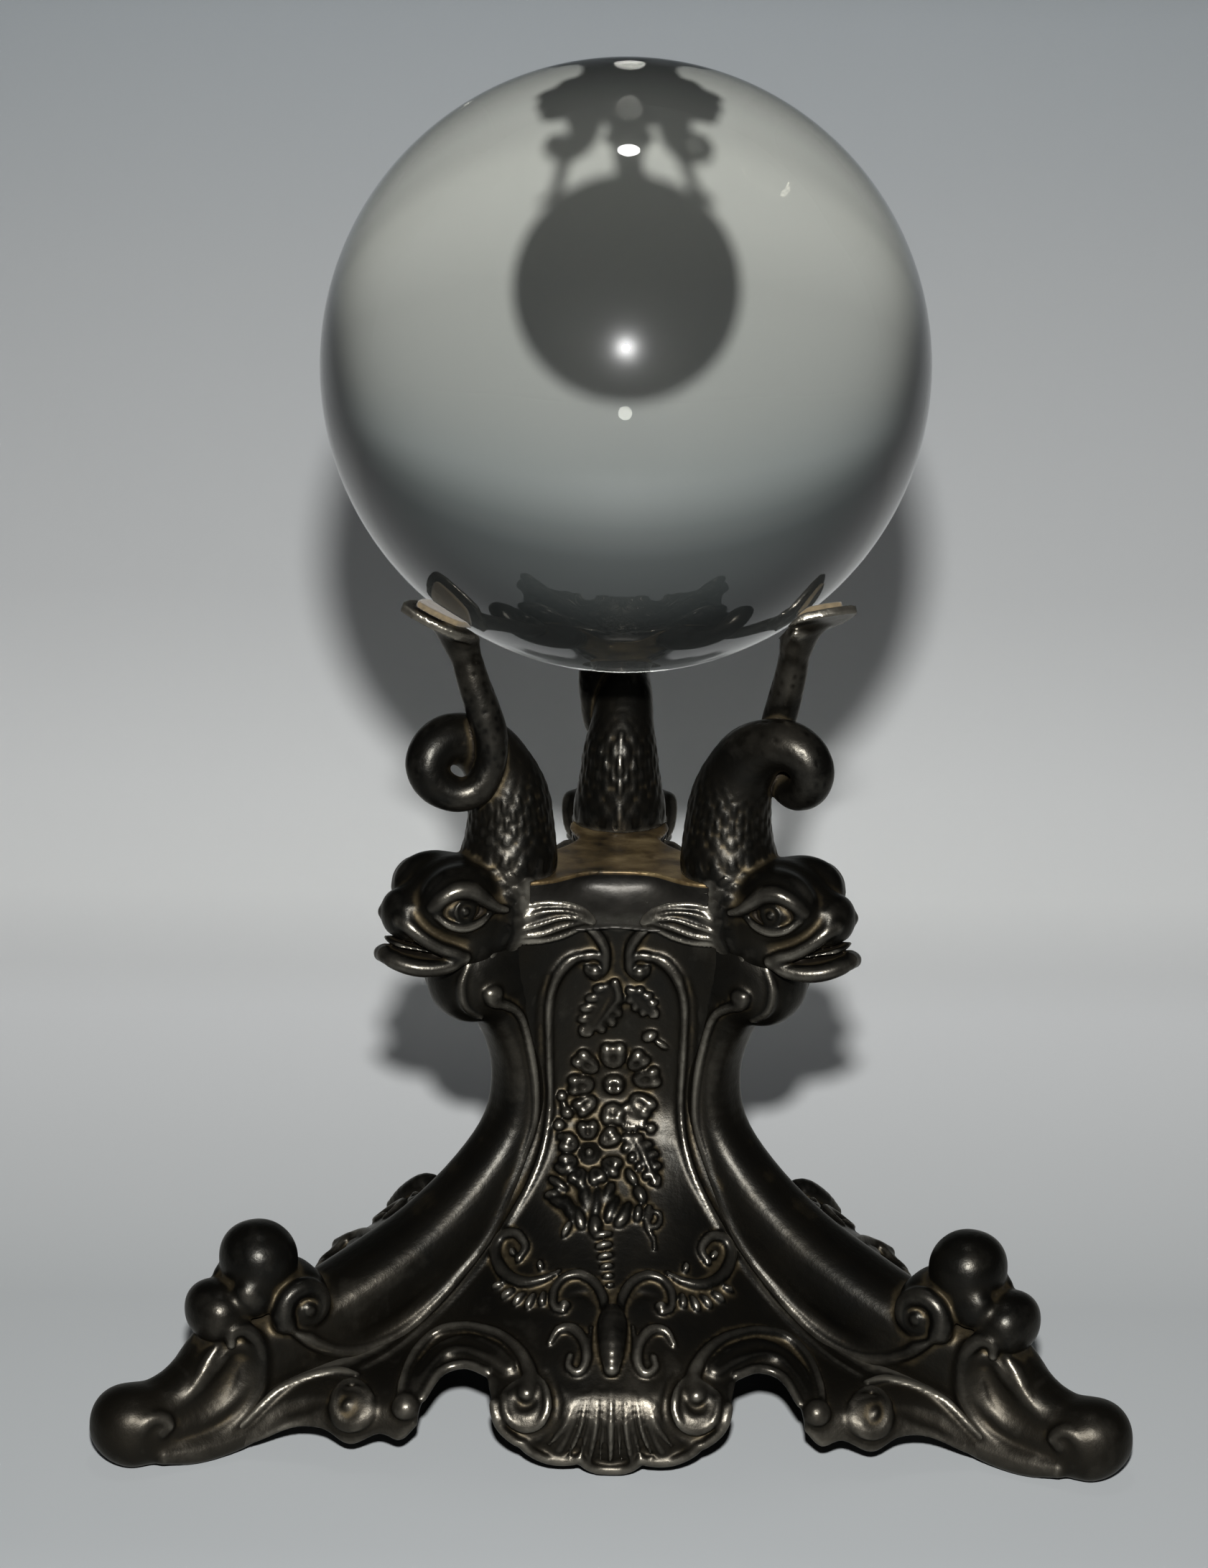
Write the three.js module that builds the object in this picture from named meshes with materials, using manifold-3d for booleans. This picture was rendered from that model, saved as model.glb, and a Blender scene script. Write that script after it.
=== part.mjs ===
// A glass sphere resting on the tails of three cast dolphins, on a waisted tripod stand.
// Millimetres, +Z up. The front panel faces -Y and the stand repeats every 120 degrees about the sphere's axis.
// Each leg, dolphin and panel is made in a radial frame: X outwards from the axis, Y to its left, Z up.
import * as THREE from "three";
import { mergeVertices } from "three/addons/utils/BufferGeometryUtils.js";
import Module from "manifold-3d";

const wasm = await Module();
wasm.setup();

// Driving dimensions
const BALL_RADIUS = 55;
const BALL_CENTRE_Z = 192;
const GAP = 0.3; // kept between pieces that touch
const SMOOTHING = 0.05; // how far a face may move where small triangles are merged
const SPACING = (2 * Math.PI) / 3; // between two legs, or two panels
const HALF_SPACING = SPACING / 2; // between a panel and the legs beside it
const NECK_Z = 92; // top of the panels and legs, where the deck sits
const DECK_TOP_Z = 101;
const DECK_WALL = 2.8;
const PANEL_WALL = 2.6;
const LEG_WALL = 2.6;
const FOOT = { out: 99, z: 7.5, radius: 8 };
const SCREW = { out: 21, shank: 1.9, head: 3.5, headHeight: 2.6, washer: 4.6, washerHeight: 0.8, top: 107 };
const ROUND_SIDES = 10;
// The stand's box reaches from the front feet to the rear foot, so its middle is behind the sphere's axis.
const REACH = FOOT.out + FOOT.radius;
const FRONT_REACH = FOOT.out * Math.cos(HALF_SPACING) + FOOT.radius;
const AXIS_Y = (FRONT_REACH - REACH) / 2;

const LEGS = [
  { side: "left", azimuth: (-5 * Math.PI) / 6 },
  { side: "right", azimuth: -Math.PI / 6 },
  { side: "rear", azimuth: Math.PI / 2 },
];
const PANELS = [
  { side: "front", azimuth: -Math.PI / 2 },
  { side: "right", azimuth: Math.PI / 6 },
  { side: "left", azimuth: (5 * Math.PI) / 6 },
];

const castMetal = new THREE.MeshStandardMaterial({ color: 0x35322b, roughness: 0.38, metalness: 0.9 });
const clearGlass = new THREE.MeshStandardMaterial({
  color: 0xe4ebe8,
  roughness: 0.02,
  metalness: 0,
  transparent: true,
  opacity: 0.35,
});
const tanFelt = new THREE.MeshStandardMaterial({ color: 0x8a6a38, roughness: 0.9, metalness: 0 });
const brightSteel = new THREE.MeshStandardMaterial({ color: 0x8c8c8a, roughness: 0.35, metalness: 1 });

// A closed geometry as a solid that can be joined and cut.
function solidOf(geometry) {
  const bare = geometry.index ? geometry.toNonIndexed() : geometry.clone();
  const onlyPlaces = new THREE.BufferGeometry().setAttribute("position", bare.getAttribute("position"));
  const merged = mergeVertices(onlyPlaces, 1e-4);
  return new wasm.Manifold(
    new wasm.Mesh({
      numProp: 3,
      vertProperties: merged.attributes.position.array,
      triVerts: new Uint32Array(merged.index.array),
    }),
  );
}

// A solid as a geometry for a mesh.
function geometryOf(solid) {
  const mesh = solid.getMesh();
  const places = new Float32Array(mesh.numVert * 3);
  for (let i = 0; i < mesh.numVert; i++) {
    places.set(mesh.vertProperties.subarray(i * mesh.numProp, i * mesh.numProp + 3), i * 3);
  }
  const geometry = new THREE.BufferGeometry()
    .setAttribute("position", new THREE.BufferAttribute(places, 3))
    .setIndex(new THREE.BufferAttribute(new Uint32Array(mesh.triVerts), 1));
  geometry.computeVertexNormals();
  return geometry;
}

// An ellipsoid with its three half widths.
function egg([x, y, z], [rx, ry, rz], turn = [0, 0, 0], around = ROUND_SIDES) {
  const geometry = new THREE.SphereGeometry(1, around, Math.round(around * 0.67));
  geometry.rotateX(Math.PI / 2);
  const matrix = new THREE.Matrix4().compose(
    new THREE.Vector3(x, y, z),
    new THREE.Quaternion().setFromEuler(new THREE.Euler(...turn)),
    new THREE.Vector3(rx, ry, rz),
  );
  return solidOf(geometry.applyMatrix4(matrix));
}

// An upright cylinder between two heights.
function pin(x, y, low, high, radius, sides = ROUND_SIDES) {
  const geometry = new THREE.CylinderGeometry(radius, radius, high - low, sides);
  geometry.rotateX(Math.PI / 2);
  return solidOf(geometry.translate(x, y, (low + high) / 2));
}

// A round bar that swells and thins along a smooth path: stations are [x, y, z, half width in the XZ plane, half
// width along Y].
function bar(stations, steps, sides = ROUND_SIDES) {
  const path = new THREE.CatmullRomCurve3(stations.map(([x, y, z]) => new THREE.Vector3(x, y, z)));
  const widths = new THREE.CatmullRomCurve3(stations.map(([, , , a, b]) => new THREE.Vector3(a, b ?? a, 0)));
  const places = [];
  for (let i = 0; i <= steps; i++) {
    const centre = path.getPoint(i / steps);
    const along = path.getTangent(i / steps);
    const width = widths.getPoint(i / steps);
    const normal = new THREE.Vector3().crossVectors(along, new THREE.Vector3(0, 1, 0)).normalize();
    const across = new THREE.Vector3().crossVectors(normal, along);
    for (let j = 0; j < sides; j++) {
      const turn = (2 * Math.PI * j) / sides;
      const place = centre
        .clone()
        .addScaledVector(normal, width.x * Math.cos(turn))
        .addScaledVector(across, width.y * Math.sin(turn));
      places.push(place.x, place.y, place.z);
    }
  }
  const faces = [];
  for (let i = 0; i < steps; i++) {
    for (let j = 0; j < sides; j++) {
      const a = i * sides + j;
      const b = i * sides + ((j + 1) % sides);
      faces.push(a, a + sides, b, b, a + sides, b + sides);
    }
  }
  const last = steps * sides;
  for (let j = 1; j < sides - 1; j++) {
    faces.push(0, j, j + 1, last, last + j + 1, last + j);
  }
  const geometry = new THREE.BufferGeometry()
    .setAttribute("position", new THREE.BufferAttribute(new Float32Array(places), 3))
    .setIndex(faces);
  const solid = solidOf(geometry);
  if (solid.volume() > 0) return solid;
  for (let i = 0; i < faces.length; i += 3) [faces[i + 1], faces[i + 2]] = [faces[i + 2], faces[i + 1]];
  return solidOf(geometry.setIndex(faces));
}

function join(solids) {
  return solids.reduce((all, next) => all.add(next));
}

function cut(solid, tools) {
  return tools.reduce((left, tool) => left.subtract(tool), solid);
}

// The largest piece of a solid that has been cut up, without the crumbs and closed pockets beside it.
function largestPiece(solid) {
  return solid
    .simplify(SMOOTHING)
    .decompose()
    .reduce((a, b) => (a.volume() > b.volume() ? a : b));
}

// A copy of a solid, turned about the sphere's axis.
function turned(solid, angle) {
  return solidOf(geometryOf(solid).rotateZ(angle));
}

// A flat shape drawn in the XZ plane and extruded evenly both ways along Y.
function extrudedAlongY(shape, length) {
  const geometry = new THREE.ExtrudeGeometry(shape, { depth: length, bevelEnabled: false });
  return solidOf(geometry.rotateX(Math.PI / 2).translate(0, length / 2, 0));
}

// A flat shape drawn in the YZ plane and extruded outwards along X from the axis.
function extrudedAlongX(shape, length) {
  const basis = new THREE.Matrix4().makeBasis(
    new THREE.Vector3(0, 1, 0),
    new THREE.Vector3(0, 0, 1),
    new THREE.Vector3(1, 0, 0),
  );
  const geometry = new THREE.ExtrudeGeometry(shape, { depth: length, bevelEnabled: false });
  return solidOf(geometry.applyMatrix4(basis));
}

// Everything above the ground.
function aboveGround(solid) {
  return solid.trimByPlane([0, 0, 1], 0);
}

// A panel's outer face at each height, from the ground to the neck: how far out its middle and its edges are, and
// how far across the edges are. The middle bulges past the edges low down and is hollow at the waist.
const PANEL_ROWS = [
  { z: 0, middle: 53.3, edge: 48, half: 72 },
  { z: 5.5, middle: 55.6, edge: 46, half: 70.5 },
  { z: 11, middle: 56.2, edge: 43.6, half: 64 },
  { z: 13.5, middle: 55.6, edge: 41, half: 57 },
  { z: 16, middle: 54.3, edge: 36, half: 46 },
  { z: 18, middle: 52, edge: 32, half: 39.2 },
  { z: 21.4, middle: 48, edge: 28.7, half: 33.8 },
  { z: 26.4, middle: 41, edge: 25.4, half: 28.7 },
  { z: 32.8, middle: 32, edge: 21.8, half: 23.3 },
  { z: 40.8, middle: 24, edge: 19.1, half: 19.6 },
  { z: 47.6, middle: 19, edge: 17.3, half: 17 },
  { z: 52, middle: 16.4, edge: 16.2, half: 15.6 },
  { z: 60, middle: 14, edge: 15.6, half: 15 },
  { z: 76, middle: 15, edge: 17.8, half: 17.4 },
  { z: 84, middle: 15.6, edge: 20, half: 19 },
  { z: NECK_Z, middle: 16.2, edge: 20.6, half: 19.8 },
];
const PANEL_BOW = 2.4; // the power by which a panel falls back from its middle to its edges
const PANEL_LAP = 1.03; // how far the plate runs in behind the legs, as a multiple of its half width

// The plate that a panel is cut from, thickened by grow on each face.
function panelPlate(grow = 0) {
  const columns = 12;
  const rows = PANEL_ROWS.length;
  const places = [];
  for (const wall of [grow, -PANEL_WALL - grow]) {
    PANEL_ROWS.forEach((row, i) => {
      const above = PANEL_ROWS[Math.min(i + 1, rows - 1)];
      const below = PANEL_ROWS[Math.max(i - 1, 0)];
      const slope = (above.middle - below.middle) / (above.z - below.z);
      const thickness = wall * Math.min(1.9, Math.hypot(1, slope));
      for (let j = 0; j <= columns; j++) {
        const part = PANEL_LAP * ((2 * j) / columns - 1);
        const out = row.middle + (row.edge - row.middle) * Math.abs(part) ** PANEL_BOW;
        const stretch = i === 0 ? -grow : i === rows - 1 ? grow : 0;
        places.push(out + thickness, part * row.half, row.z + stretch);
      }
    });
  }
  const faces = [];
  const quad = (a, b, c, d) => faces.push(a, b, c, a, c, d);
  const at = (layer, i, j) => (layer * rows + i) * (columns + 1) + j;
  for (let i = 0; i < rows - 1; i++) {
    for (let j = 0; j < columns; j++) {
      quad(at(0, i, j), at(0, i, j + 1), at(0, i + 1, j + 1), at(0, i + 1, j));
      quad(at(1, i, j), at(1, i + 1, j), at(1, i + 1, j + 1), at(1, i, j + 1));
    }
    quad(at(0, i, 0), at(0, i + 1, 0), at(1, i + 1, 0), at(1, i, 0));
    quad(at(0, i, columns), at(1, i, columns), at(1, i + 1, columns), at(0, i + 1, columns));
  }
  for (let j = 0; j < columns; j++) {
    quad(at(0, 0, j), at(1, 0, j), at(1, 0, j + 1), at(0, 0, j + 1));
    quad(at(0, rows - 1, j), at(0, rows - 1, j + 1), at(1, rows - 1, j + 1), at(1, rows - 1, j));
  }
  const geometry = new THREE.BufferGeometry()
    .setAttribute("position", new THREE.BufferAttribute(new Float32Array(places), 3))
    .setIndex(faces);
  return solidOf(geometry);
}

// The right half of a panel's lower edge seen from the front, as [across, height]: the shell, the arch and the leaf
// scrolls that run in to the foot.
const SHELL_EDGE = [[5.5, 3.2], [11, 2.4], [16.4, 6.4], [20.7, 10], [20.9, 14.6]];
const ARCH_EDGE = [[22.4, 17.2], [26.5, 18.2], [31, 16.8], [34.3, 12.8]];
const SCROLL_EDGE = [[34.2, 8.5], [37.7, 5.6], [41.5, 6.9], [46.8, 4.2], [51.7, 6.8], [57.2, 6.6], [64.4, 3.3], [72, 0.6]];

function panelOutline() {
  const half = [...SHELL_EDGE, ...ARCH_EDGE, ...SCROLL_EDGE, [REACH, 0.6], [REACH, NECK_Z]];
  const right = half.map(([across, z]) => new THREE.Vector2(across, z));
  const left = half.map(([across, z]) => new THREE.Vector2(-across, z)).reverse();
  return new THREE.Shape([new THREE.Vector2(0, 0.8), ...right, ...left]);
}

// Stations of a leg, from the neck down over the knee to the foot: [out, across, height, half width, half width].
const LEG_STATIONS = [
  [26, 0, 91.5, 7, 8],
  [28, 0, 82, 7, 8],
  [22.5, 0, 72, 5.6, 6],
  [19.8, 0, 62, 5.6, 5.8],
  [21.3, 0, 51, 5.8, 6],
  [28, 0, 41.5, 6.2, 6.8],
  [39, 0, 33, 6.6, 7.6],
  [52, 0, 26.2, 6.8, 8.2],
  [66, 0, 20.8, 7, 7.8],
  [80, 0, 15.5, 6.6, 7],
  [90, 0, 10.8, 6, 6.4],
  [FOOT.out, 0, FOOT.z, 5.6, 6],
];
const KNEE_KNOBS = [[73.7, 33, 7.2], [80.3, 25.3, 6.2]];
const TOP_ROLL = { out: 33.5, z: 83.5, radius: 6 };

// The outside of a leg, swelled by grow. The hollow runs along its inner side.
function legOutside(grow = 0) {
  const stations = LEG_STATIONS.map(([x, y, z, a, b]) => [x, y, z, a + grow, b + grow]);
  const roll = egg([TOP_ROLL.out, 0, TOP_ROLL.z], Array(3).fill(TOP_ROLL.radius + grow));
  const knobs = KNEE_KNOBS.map(([x, z, r]) => egg([x, 0, z], [r + grow, r + grow, r + grow]));
  const foot = egg([FOOT.out, 0, FOOT.z], Array(3).fill(FOOT.radius + grow), [0, 0, 0], 14);
  const topZ = NECK_Z + grow;
  return join([bar(stations, 16), roll, ...knobs, foot]).trimByPlane([0, 0, -1], -topZ);
}

function legSolid() {
  const inwards = 3.2; // how far the hollow is shifted towards the axis, which opens it there
  const upper = LEG_STATIONS.slice(0, 8);
  const core = upper.map(([x, y, z, a, b]) => [x - inwards, y, z - inwards, a - LEG_WALL, b - LEG_WALL]);
  core[0][2] = NECK_Z + 2;
  return largestPiece(aboveGround(cut(legOutside(), [bar(core, 9, 8)])));
}

function panelSolid() {
  const blank = panelPlate().intersect(extrudedAlongX(panelOutline(), REACH));
  const beside = [-HALF_SPACING, HALF_SPACING].map((angle) => turned(legOutside(GAP), angle));
  return largestPiece(cut(blank, beside));
}

// The deck's plan: three round lobes under the dolphins, joined by hollow sides.
function deckPlan(grow = 0) {
  const lobe = { out: 20, radius: 9.5 + grow };
  const waist = 11.5 + grow;
  const shape = new THREE.Shape();
  const points = [];
  for (let k = 0; k < 3; k++) {
    const azimuth = k * SPACING;
    for (let i = -4; i <= 4; i++) {
      const turn = azimuth + (i / 4) * 1.25;
      const x = lobe.out * Math.cos(azimuth) + lobe.radius * Math.cos(turn);
      const y = lobe.out * Math.sin(azimuth) + lobe.radius * Math.sin(turn);
      points.push(new THREE.Vector2(x, y));
    }
    const side = azimuth + HALF_SPACING;
    for (let i = -1; i <= 1; i++) {
      const across = i * 6;
      const out = waist + Math.abs(i) * 1.2;
      const x = out * Math.cos(side) - across * Math.sin(side);
      const y = out * Math.sin(side) + across * Math.cos(side);
      points.push(new THREE.Vector2(x, y));
    }
  }
  shape.setFromPoints(points);
  return shape;
}

function deckBlock(low, high, grow) {
  const geometry = new THREE.ExtrudeGeometry(deckPlan(grow), { depth: high - low, bevelEnabled: false });
  return solidOf(geometry.translate(0, 0, low));
}

// The deck is a shallow cap, open below, with a hole for each dolphin's screw.
function deckSolid() {
  const low = NECK_Z + GAP;
  const outside = deckBlock(low, DECK_TOP_Z, 0);
  const hollow = deckBlock(low - 1, DECK_TOP_Z - DECK_WALL, -DECK_WALL);
  const hole = pin(SCREW.out, 0, low - 1, DECK_TOP_Z + 1, SCREW.shank + 0.4);
  const holes = [0, SPACING, -SPACING].map((angle) => turned(hole, angle));
  return largestPiece(cut(outside, [hollow, ...holes]));
}

// The tail fluke and the felt on it slope outwards, and lean to the dolphin's right.
const FLUKE = { out: 38, across: 1.8, z: 149.2, slope: -0.39, lean: -0.26 };

function flukePlate(lift, thickness, shrink) {
  const turn = [FLUKE.lean, FLUKE.slope, 0];
  const place = [FLUKE.out - lift * 0.38, FLUKE.across + lift * 0.24, FLUKE.z + lift * 0.9];
  return egg(place, [9 - shrink, 6.8 - shrink, thickness], turn, 12);
}

// Stations of a dolphin: the body rises from the head and arches outwards, then the tail coils down, comes back
// inwards on the dolphin's left and rises to the fluke.
const BODY_STATIONS = [
  [26, 0, 93, 8.2, 8.6],
  [23.4, 0, 102, 8.5, 8.8],
  [23, 0, 109, 7.8, 7.6],
  [23.4, 0, 114.5, 7.2, 6.8],
  [24.8, -0.3, 119.4, 6.5, 6.1],
  [27.6, -0.6, 123.8, 5.8, 5.6],
  [31.4, -0.8, 126.2, 5, 5],
  [35.5, -0.8, 126.8, 4.5, 4.6],
  [38.6, -0.5, 125.4, 4.2, 4.2],
  [39.9, 0, 122.9, 3.9, 3.9],
  [38.6, 1, 119.1, 3.4, 3.4],
  [35.2, 2.7, 117.5, 3.2, 3.2],
  [31.6, 4.3, 119, 3, 3],
  [29.6, 5.1, 123.2, 3, 3],
  [29.9, 5.2, 128.2, 3.2, 3.2],
  [31.3, 4.8, 133.2, 3.2, 3.2],
  [33, 4, 138.8, 3, 3],
  [34.2, 3.2, 144, 2.7, 2.7],
  [34.8, 2.8, 148, 2.8, 2.8],
];
// A fin of each cheek lies along the top of the panel beside it: its middle and half widths in that panel's frame.
const FIN = { middle: [18.9, -13.4, 93.4], half: [1.5, 8.8, 3.8] };

function dolphinRaw() {
  const [finOut, finAcross, finZ] = FIN.middle;
  const fins = [-1, 1].map((side) => turned(egg([finOut, side * finAcross, finZ], FIN.half), side * HALF_SPACING));
  const brows = [-1, 1].map((side) => egg([37, side * 5.4, 100], [5.4, 4.2, 4.6]));
  const skull = egg([33.5, 0, 95.5], [11.5, 9.2, 9.2]);
  const snout = egg([41.5, 0, 94], [6.5, 6.2, 5.6]);
  const nose = egg([46.3, 0, 95.6], [3.3, 4.2, 3.3]);
  const jaw = egg([40, 0, 87.4], [7.4, 5.2, 3.2]);
  const cheek = egg([30, 0, 90], [8.6, 8.6, 6.4]);
  const body = bar(BODY_STATIONS, 34, 8);
  return join([skull, snout, nose, jaw, cheek, ...brows, ...fins, body, flukePlate(0, 1.3, 0)]);
}

function ballSolid(grow = 0, detail = 7) {
  const geometry = new THREE.IcosahedronGeometry(BALL_RADIUS + grow, detail);
  return solidOf(geometry.translate(0, 0, BALL_CENTRE_Z));
}

const FELT = { thickness: 0.9, lift: 1.9 };

function feltSolid() {
  const blank = flukePlate(FELT.lift, 1.3, 1.2);
  const under = flukePlate(0, 1.3 + GAP, 0.2);
  const felt = cut(blank, [under, ballSolid(2 * GAP)]);
  return largestPiece(felt);
}

function dolphinSolid() {
  const plates = [-HALF_SPACING, HALF_SPACING].map((angle) => turned(panelPlate(GAP), angle));
  const screwHole = pin(SCREW.out, 0, NECK_Z - 4, SCREW.top + 0.6, SCREW.shank + 0.35);
  const felt = flukePlate(FELT.lift + GAP, 1.3 + GAP, 0.6);
  const deck = deckBlock(NECK_Z - 2, DECK_TOP_Z + GAP, GAP);
  const ball = ballSolid(GAP + FELT.thickness);
  const dolphin = cut(dolphinRaw(), [deck, legOutside(GAP), ...plates, screwHole, ball, felt]);
  return largestPiece(dolphin);
}

// A cheese-headed screw that holds a dolphin down from inside the deck, and the washer under its head.
function screwSolid() {
  const seat = DECK_TOP_Z - DECK_WALL - 2 * GAP - SCREW.washerHeight;
  const head = pin(SCREW.out, 0, seat - SCREW.headHeight, seat, SCREW.head);
  const shank = pin(SCREW.out, 0, seat - 0.5, SCREW.top, SCREW.shank, 10);
  const slot = new THREE.BoxGeometry(2 * SCREW.head + 2, 0.9, 1.1);
  slot.translate(SCREW.out, 0, seat - SCREW.headHeight);
  return head.add(shank).subtract(solidOf(slot));
}

function washerSolid() {
  const high = DECK_TOP_Z - DECK_WALL - GAP;
  const low = high - SCREW.washerHeight;
  return pin(SCREW.out, 0, low, high, SCREW.washer, 16).subtract(
    pin(SCREW.out, 0, low - 1, high + 1, SCREW.shank + 0.35),
  );
}

const crystalBall = new THREE.Group();
const stand = new THREE.Group();
stand.position.y = AXIS_Y;
crystalBall.add(stand);

function addMesh(name, solid, material, azimuth = 0) {
  const mesh = new THREE.Mesh(geometryOf(solid), material);
  mesh.name = name;
  mesh.rotation.z = azimuth;
  stand.add(mesh);
}

addMesh("crystal_sphere", ballSolid(), clearGlass);
addMesh("deck_plate", deckSolid(), castMetal, LEGS[0].azimuth);

const panel = panelSolid();
for (const { side, azimuth } of PANELS) addMesh(`panel_${side}`, panel, castMetal, azimuth);

const leg = legSolid();
const dolphin = dolphinSolid();
const felt = feltSolid();
const screw = screwSolid();
const washer = washerSolid();
for (const { side, azimuth } of LEGS) {
  addMesh(`leg_${side}`, leg, castMetal, azimuth);
  addMesh(`dolphin_${side}`, dolphin, castMetal, azimuth);
  addMesh(`tail_felt_${side}`, felt, tanFelt, azimuth);
  addMesh(`dolphin_screw_${side}`, screw, brightSteel, azimuth);
  addMesh(`dolphin_washer_${side}`, washer, brightSteel, azimuth);
}

export default crystalBall;
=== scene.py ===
import itertools
import math

import bmesh
import bpy
import numpy as np
from mathutils import Matrix, Vector


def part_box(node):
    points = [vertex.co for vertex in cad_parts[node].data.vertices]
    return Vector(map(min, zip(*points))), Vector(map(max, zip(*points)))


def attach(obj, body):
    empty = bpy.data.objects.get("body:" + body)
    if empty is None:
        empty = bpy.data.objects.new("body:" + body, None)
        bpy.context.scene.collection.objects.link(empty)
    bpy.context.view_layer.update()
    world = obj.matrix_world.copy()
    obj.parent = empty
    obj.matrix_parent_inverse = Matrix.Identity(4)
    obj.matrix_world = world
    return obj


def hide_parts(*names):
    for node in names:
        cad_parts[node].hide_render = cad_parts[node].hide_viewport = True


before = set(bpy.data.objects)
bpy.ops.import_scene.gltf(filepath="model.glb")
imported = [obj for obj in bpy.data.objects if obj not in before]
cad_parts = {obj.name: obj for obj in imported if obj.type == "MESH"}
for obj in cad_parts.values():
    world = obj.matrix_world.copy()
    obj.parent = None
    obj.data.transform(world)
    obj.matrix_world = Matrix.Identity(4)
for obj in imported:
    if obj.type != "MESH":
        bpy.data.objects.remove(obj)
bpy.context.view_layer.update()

# The crystal ball and its cast stand. Sizes are in millimetres until a mesh is made, which is in metres.
# A casting is shaped as clay: eggs and ropes are joined to a field of signed distances on a grid, or cut
# from it. A leg and a dolphin are made once, pointing out along x, and turned to their three places.

MM = 0.001
BALL_LOW, BALL_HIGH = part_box("crystal_sphere")
AXIS = Vector(((BALL_LOW.x + BALL_HIGH.x) / 2, (BALL_LOW.y + BALL_HIGH.y) / 2, 0))
BALL_RADIUS = (BALL_HIGH.z - BALL_LOW.z) / 2 / MM
BALL_CENTRE_Z = (BALL_HIGH.z + BALL_LOW.z) / 2 / MM
DECK_TOP_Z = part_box("deck_plate")[1].z / MM
DECK_LOW_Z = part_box("deck_plate")[0].z / MM
NECK_Z = DECK_LOW_Z - 0.3  # where the legs and panels end under the deck
SCREW_OUT = 21  # a dolphin's screw, from the stand's axis

LEG_AZIMUTHS = {"left": -150, "right": -30, "rear": 90}
PANEL_AZIMUTHS = {"front": -90, "right": 30, "left": 150}
SIDES = (-1, 1)

LEG_PITCH = 0.42
PANEL_PITCH = 0.42
DOLPHIN_PITCH = 0.34
DECK_PITCH = 0.42
FELT_PITCH = 0.28


# ---------------------------------------------------------------- clay

FAR = 20.0  # the field's value away from every shape
CORNERS = list(itertools.product((0, 1), repeat=3))
SIDEWAYS = np.array((0.0, 1.0, 0.0))  # a leg's and a dolphin's own width axis


def through(points, steps):
    """A smooth line through points, with any number of columns, and this many steps between two of them."""
    points = np.array(points, float)
    padded = np.vstack((2 * points[0] - points[1], points, 2 * points[-1] - points[-2]))
    t = (np.arange(steps) / steps)[:, None]
    parts = []
    for a, b, c, d in zip(padded, padded[1:], padded[2:], padded[3:]):
        curve = 2 * b + (c - a) * t + (2 * a - 5 * b + 4 * c - d) * t**2 + (3 * b - a - 3 * c + d) * t**3
        parts.append(0.5 * curve)
    return np.vstack(parts + [points[-1:]])


def heading(degrees):
    """The unit vector at an angle in a plane."""
    return np.array((math.cos(math.radians(degrees)), math.sin(math.radians(degrees))))


def box_egg(centre, radii, turn=None, power=2.0):
    """An ellipsoid, or with a higher power a rounded box, as a list of one (low, high, distance)."""
    centre, radii = np.array(centre, float), np.array(radii, float)
    turn = np.eye(3) if turn is None else np.array(turn, float)
    reach = np.abs(turn) @ radii

    def distance(x, y, z):
        dx, dy, dz = x - centre[0], y - centre[1], z - centre[2]
        own = [dx * turn[0, i] + dy * turn[1, i] + dz * turn[2, i] for i in range(3)]
        ratio = sum(np.abs(own[i] / radii[i]) ** power for i in range(3)) ** (1 / power)
        radius = np.sqrt(dx**2 + dy**2 + dz**2)
        return np.where(ratio > 0.05, radius * (1 - 1 / np.maximum(ratio, 0.05)), -radii.min())

    return [(centre - reach, centre + reach, distance)]


def rope(points, sizes, side=None, power=2.0, steps=4, relief=None):
    """A tube through points. A size is a radius, or a pair where the section is higher than it is wide.

    side is the section's width axis. relief(along, angle) lowers or raises the skin.
    """
    sizes = np.array(sizes, float)
    if sizes.ndim == 0:
        sizes = np.full(len(points), sizes)
    if sizes.ndim == 1:
        sizes = np.stack((sizes, sizes), 1)
    line = through(np.hstack((np.array(points, float), sizes)), steps)
    line[:, 3:] = np.maximum(line[:, 3:], 0.05)
    lengths = np.linalg.norm(np.diff(line[:, :3], axis=0), axis=1)
    travelled = np.concatenate(((0,), np.cumsum(lengths)))
    pieces = []
    for i, length in enumerate(lengths):
        if length > 1e-6:
            pieces.append(rope_piece(line[i], line[i + 1], travelled[i], length, side, power, relief))
    return pieces


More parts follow.
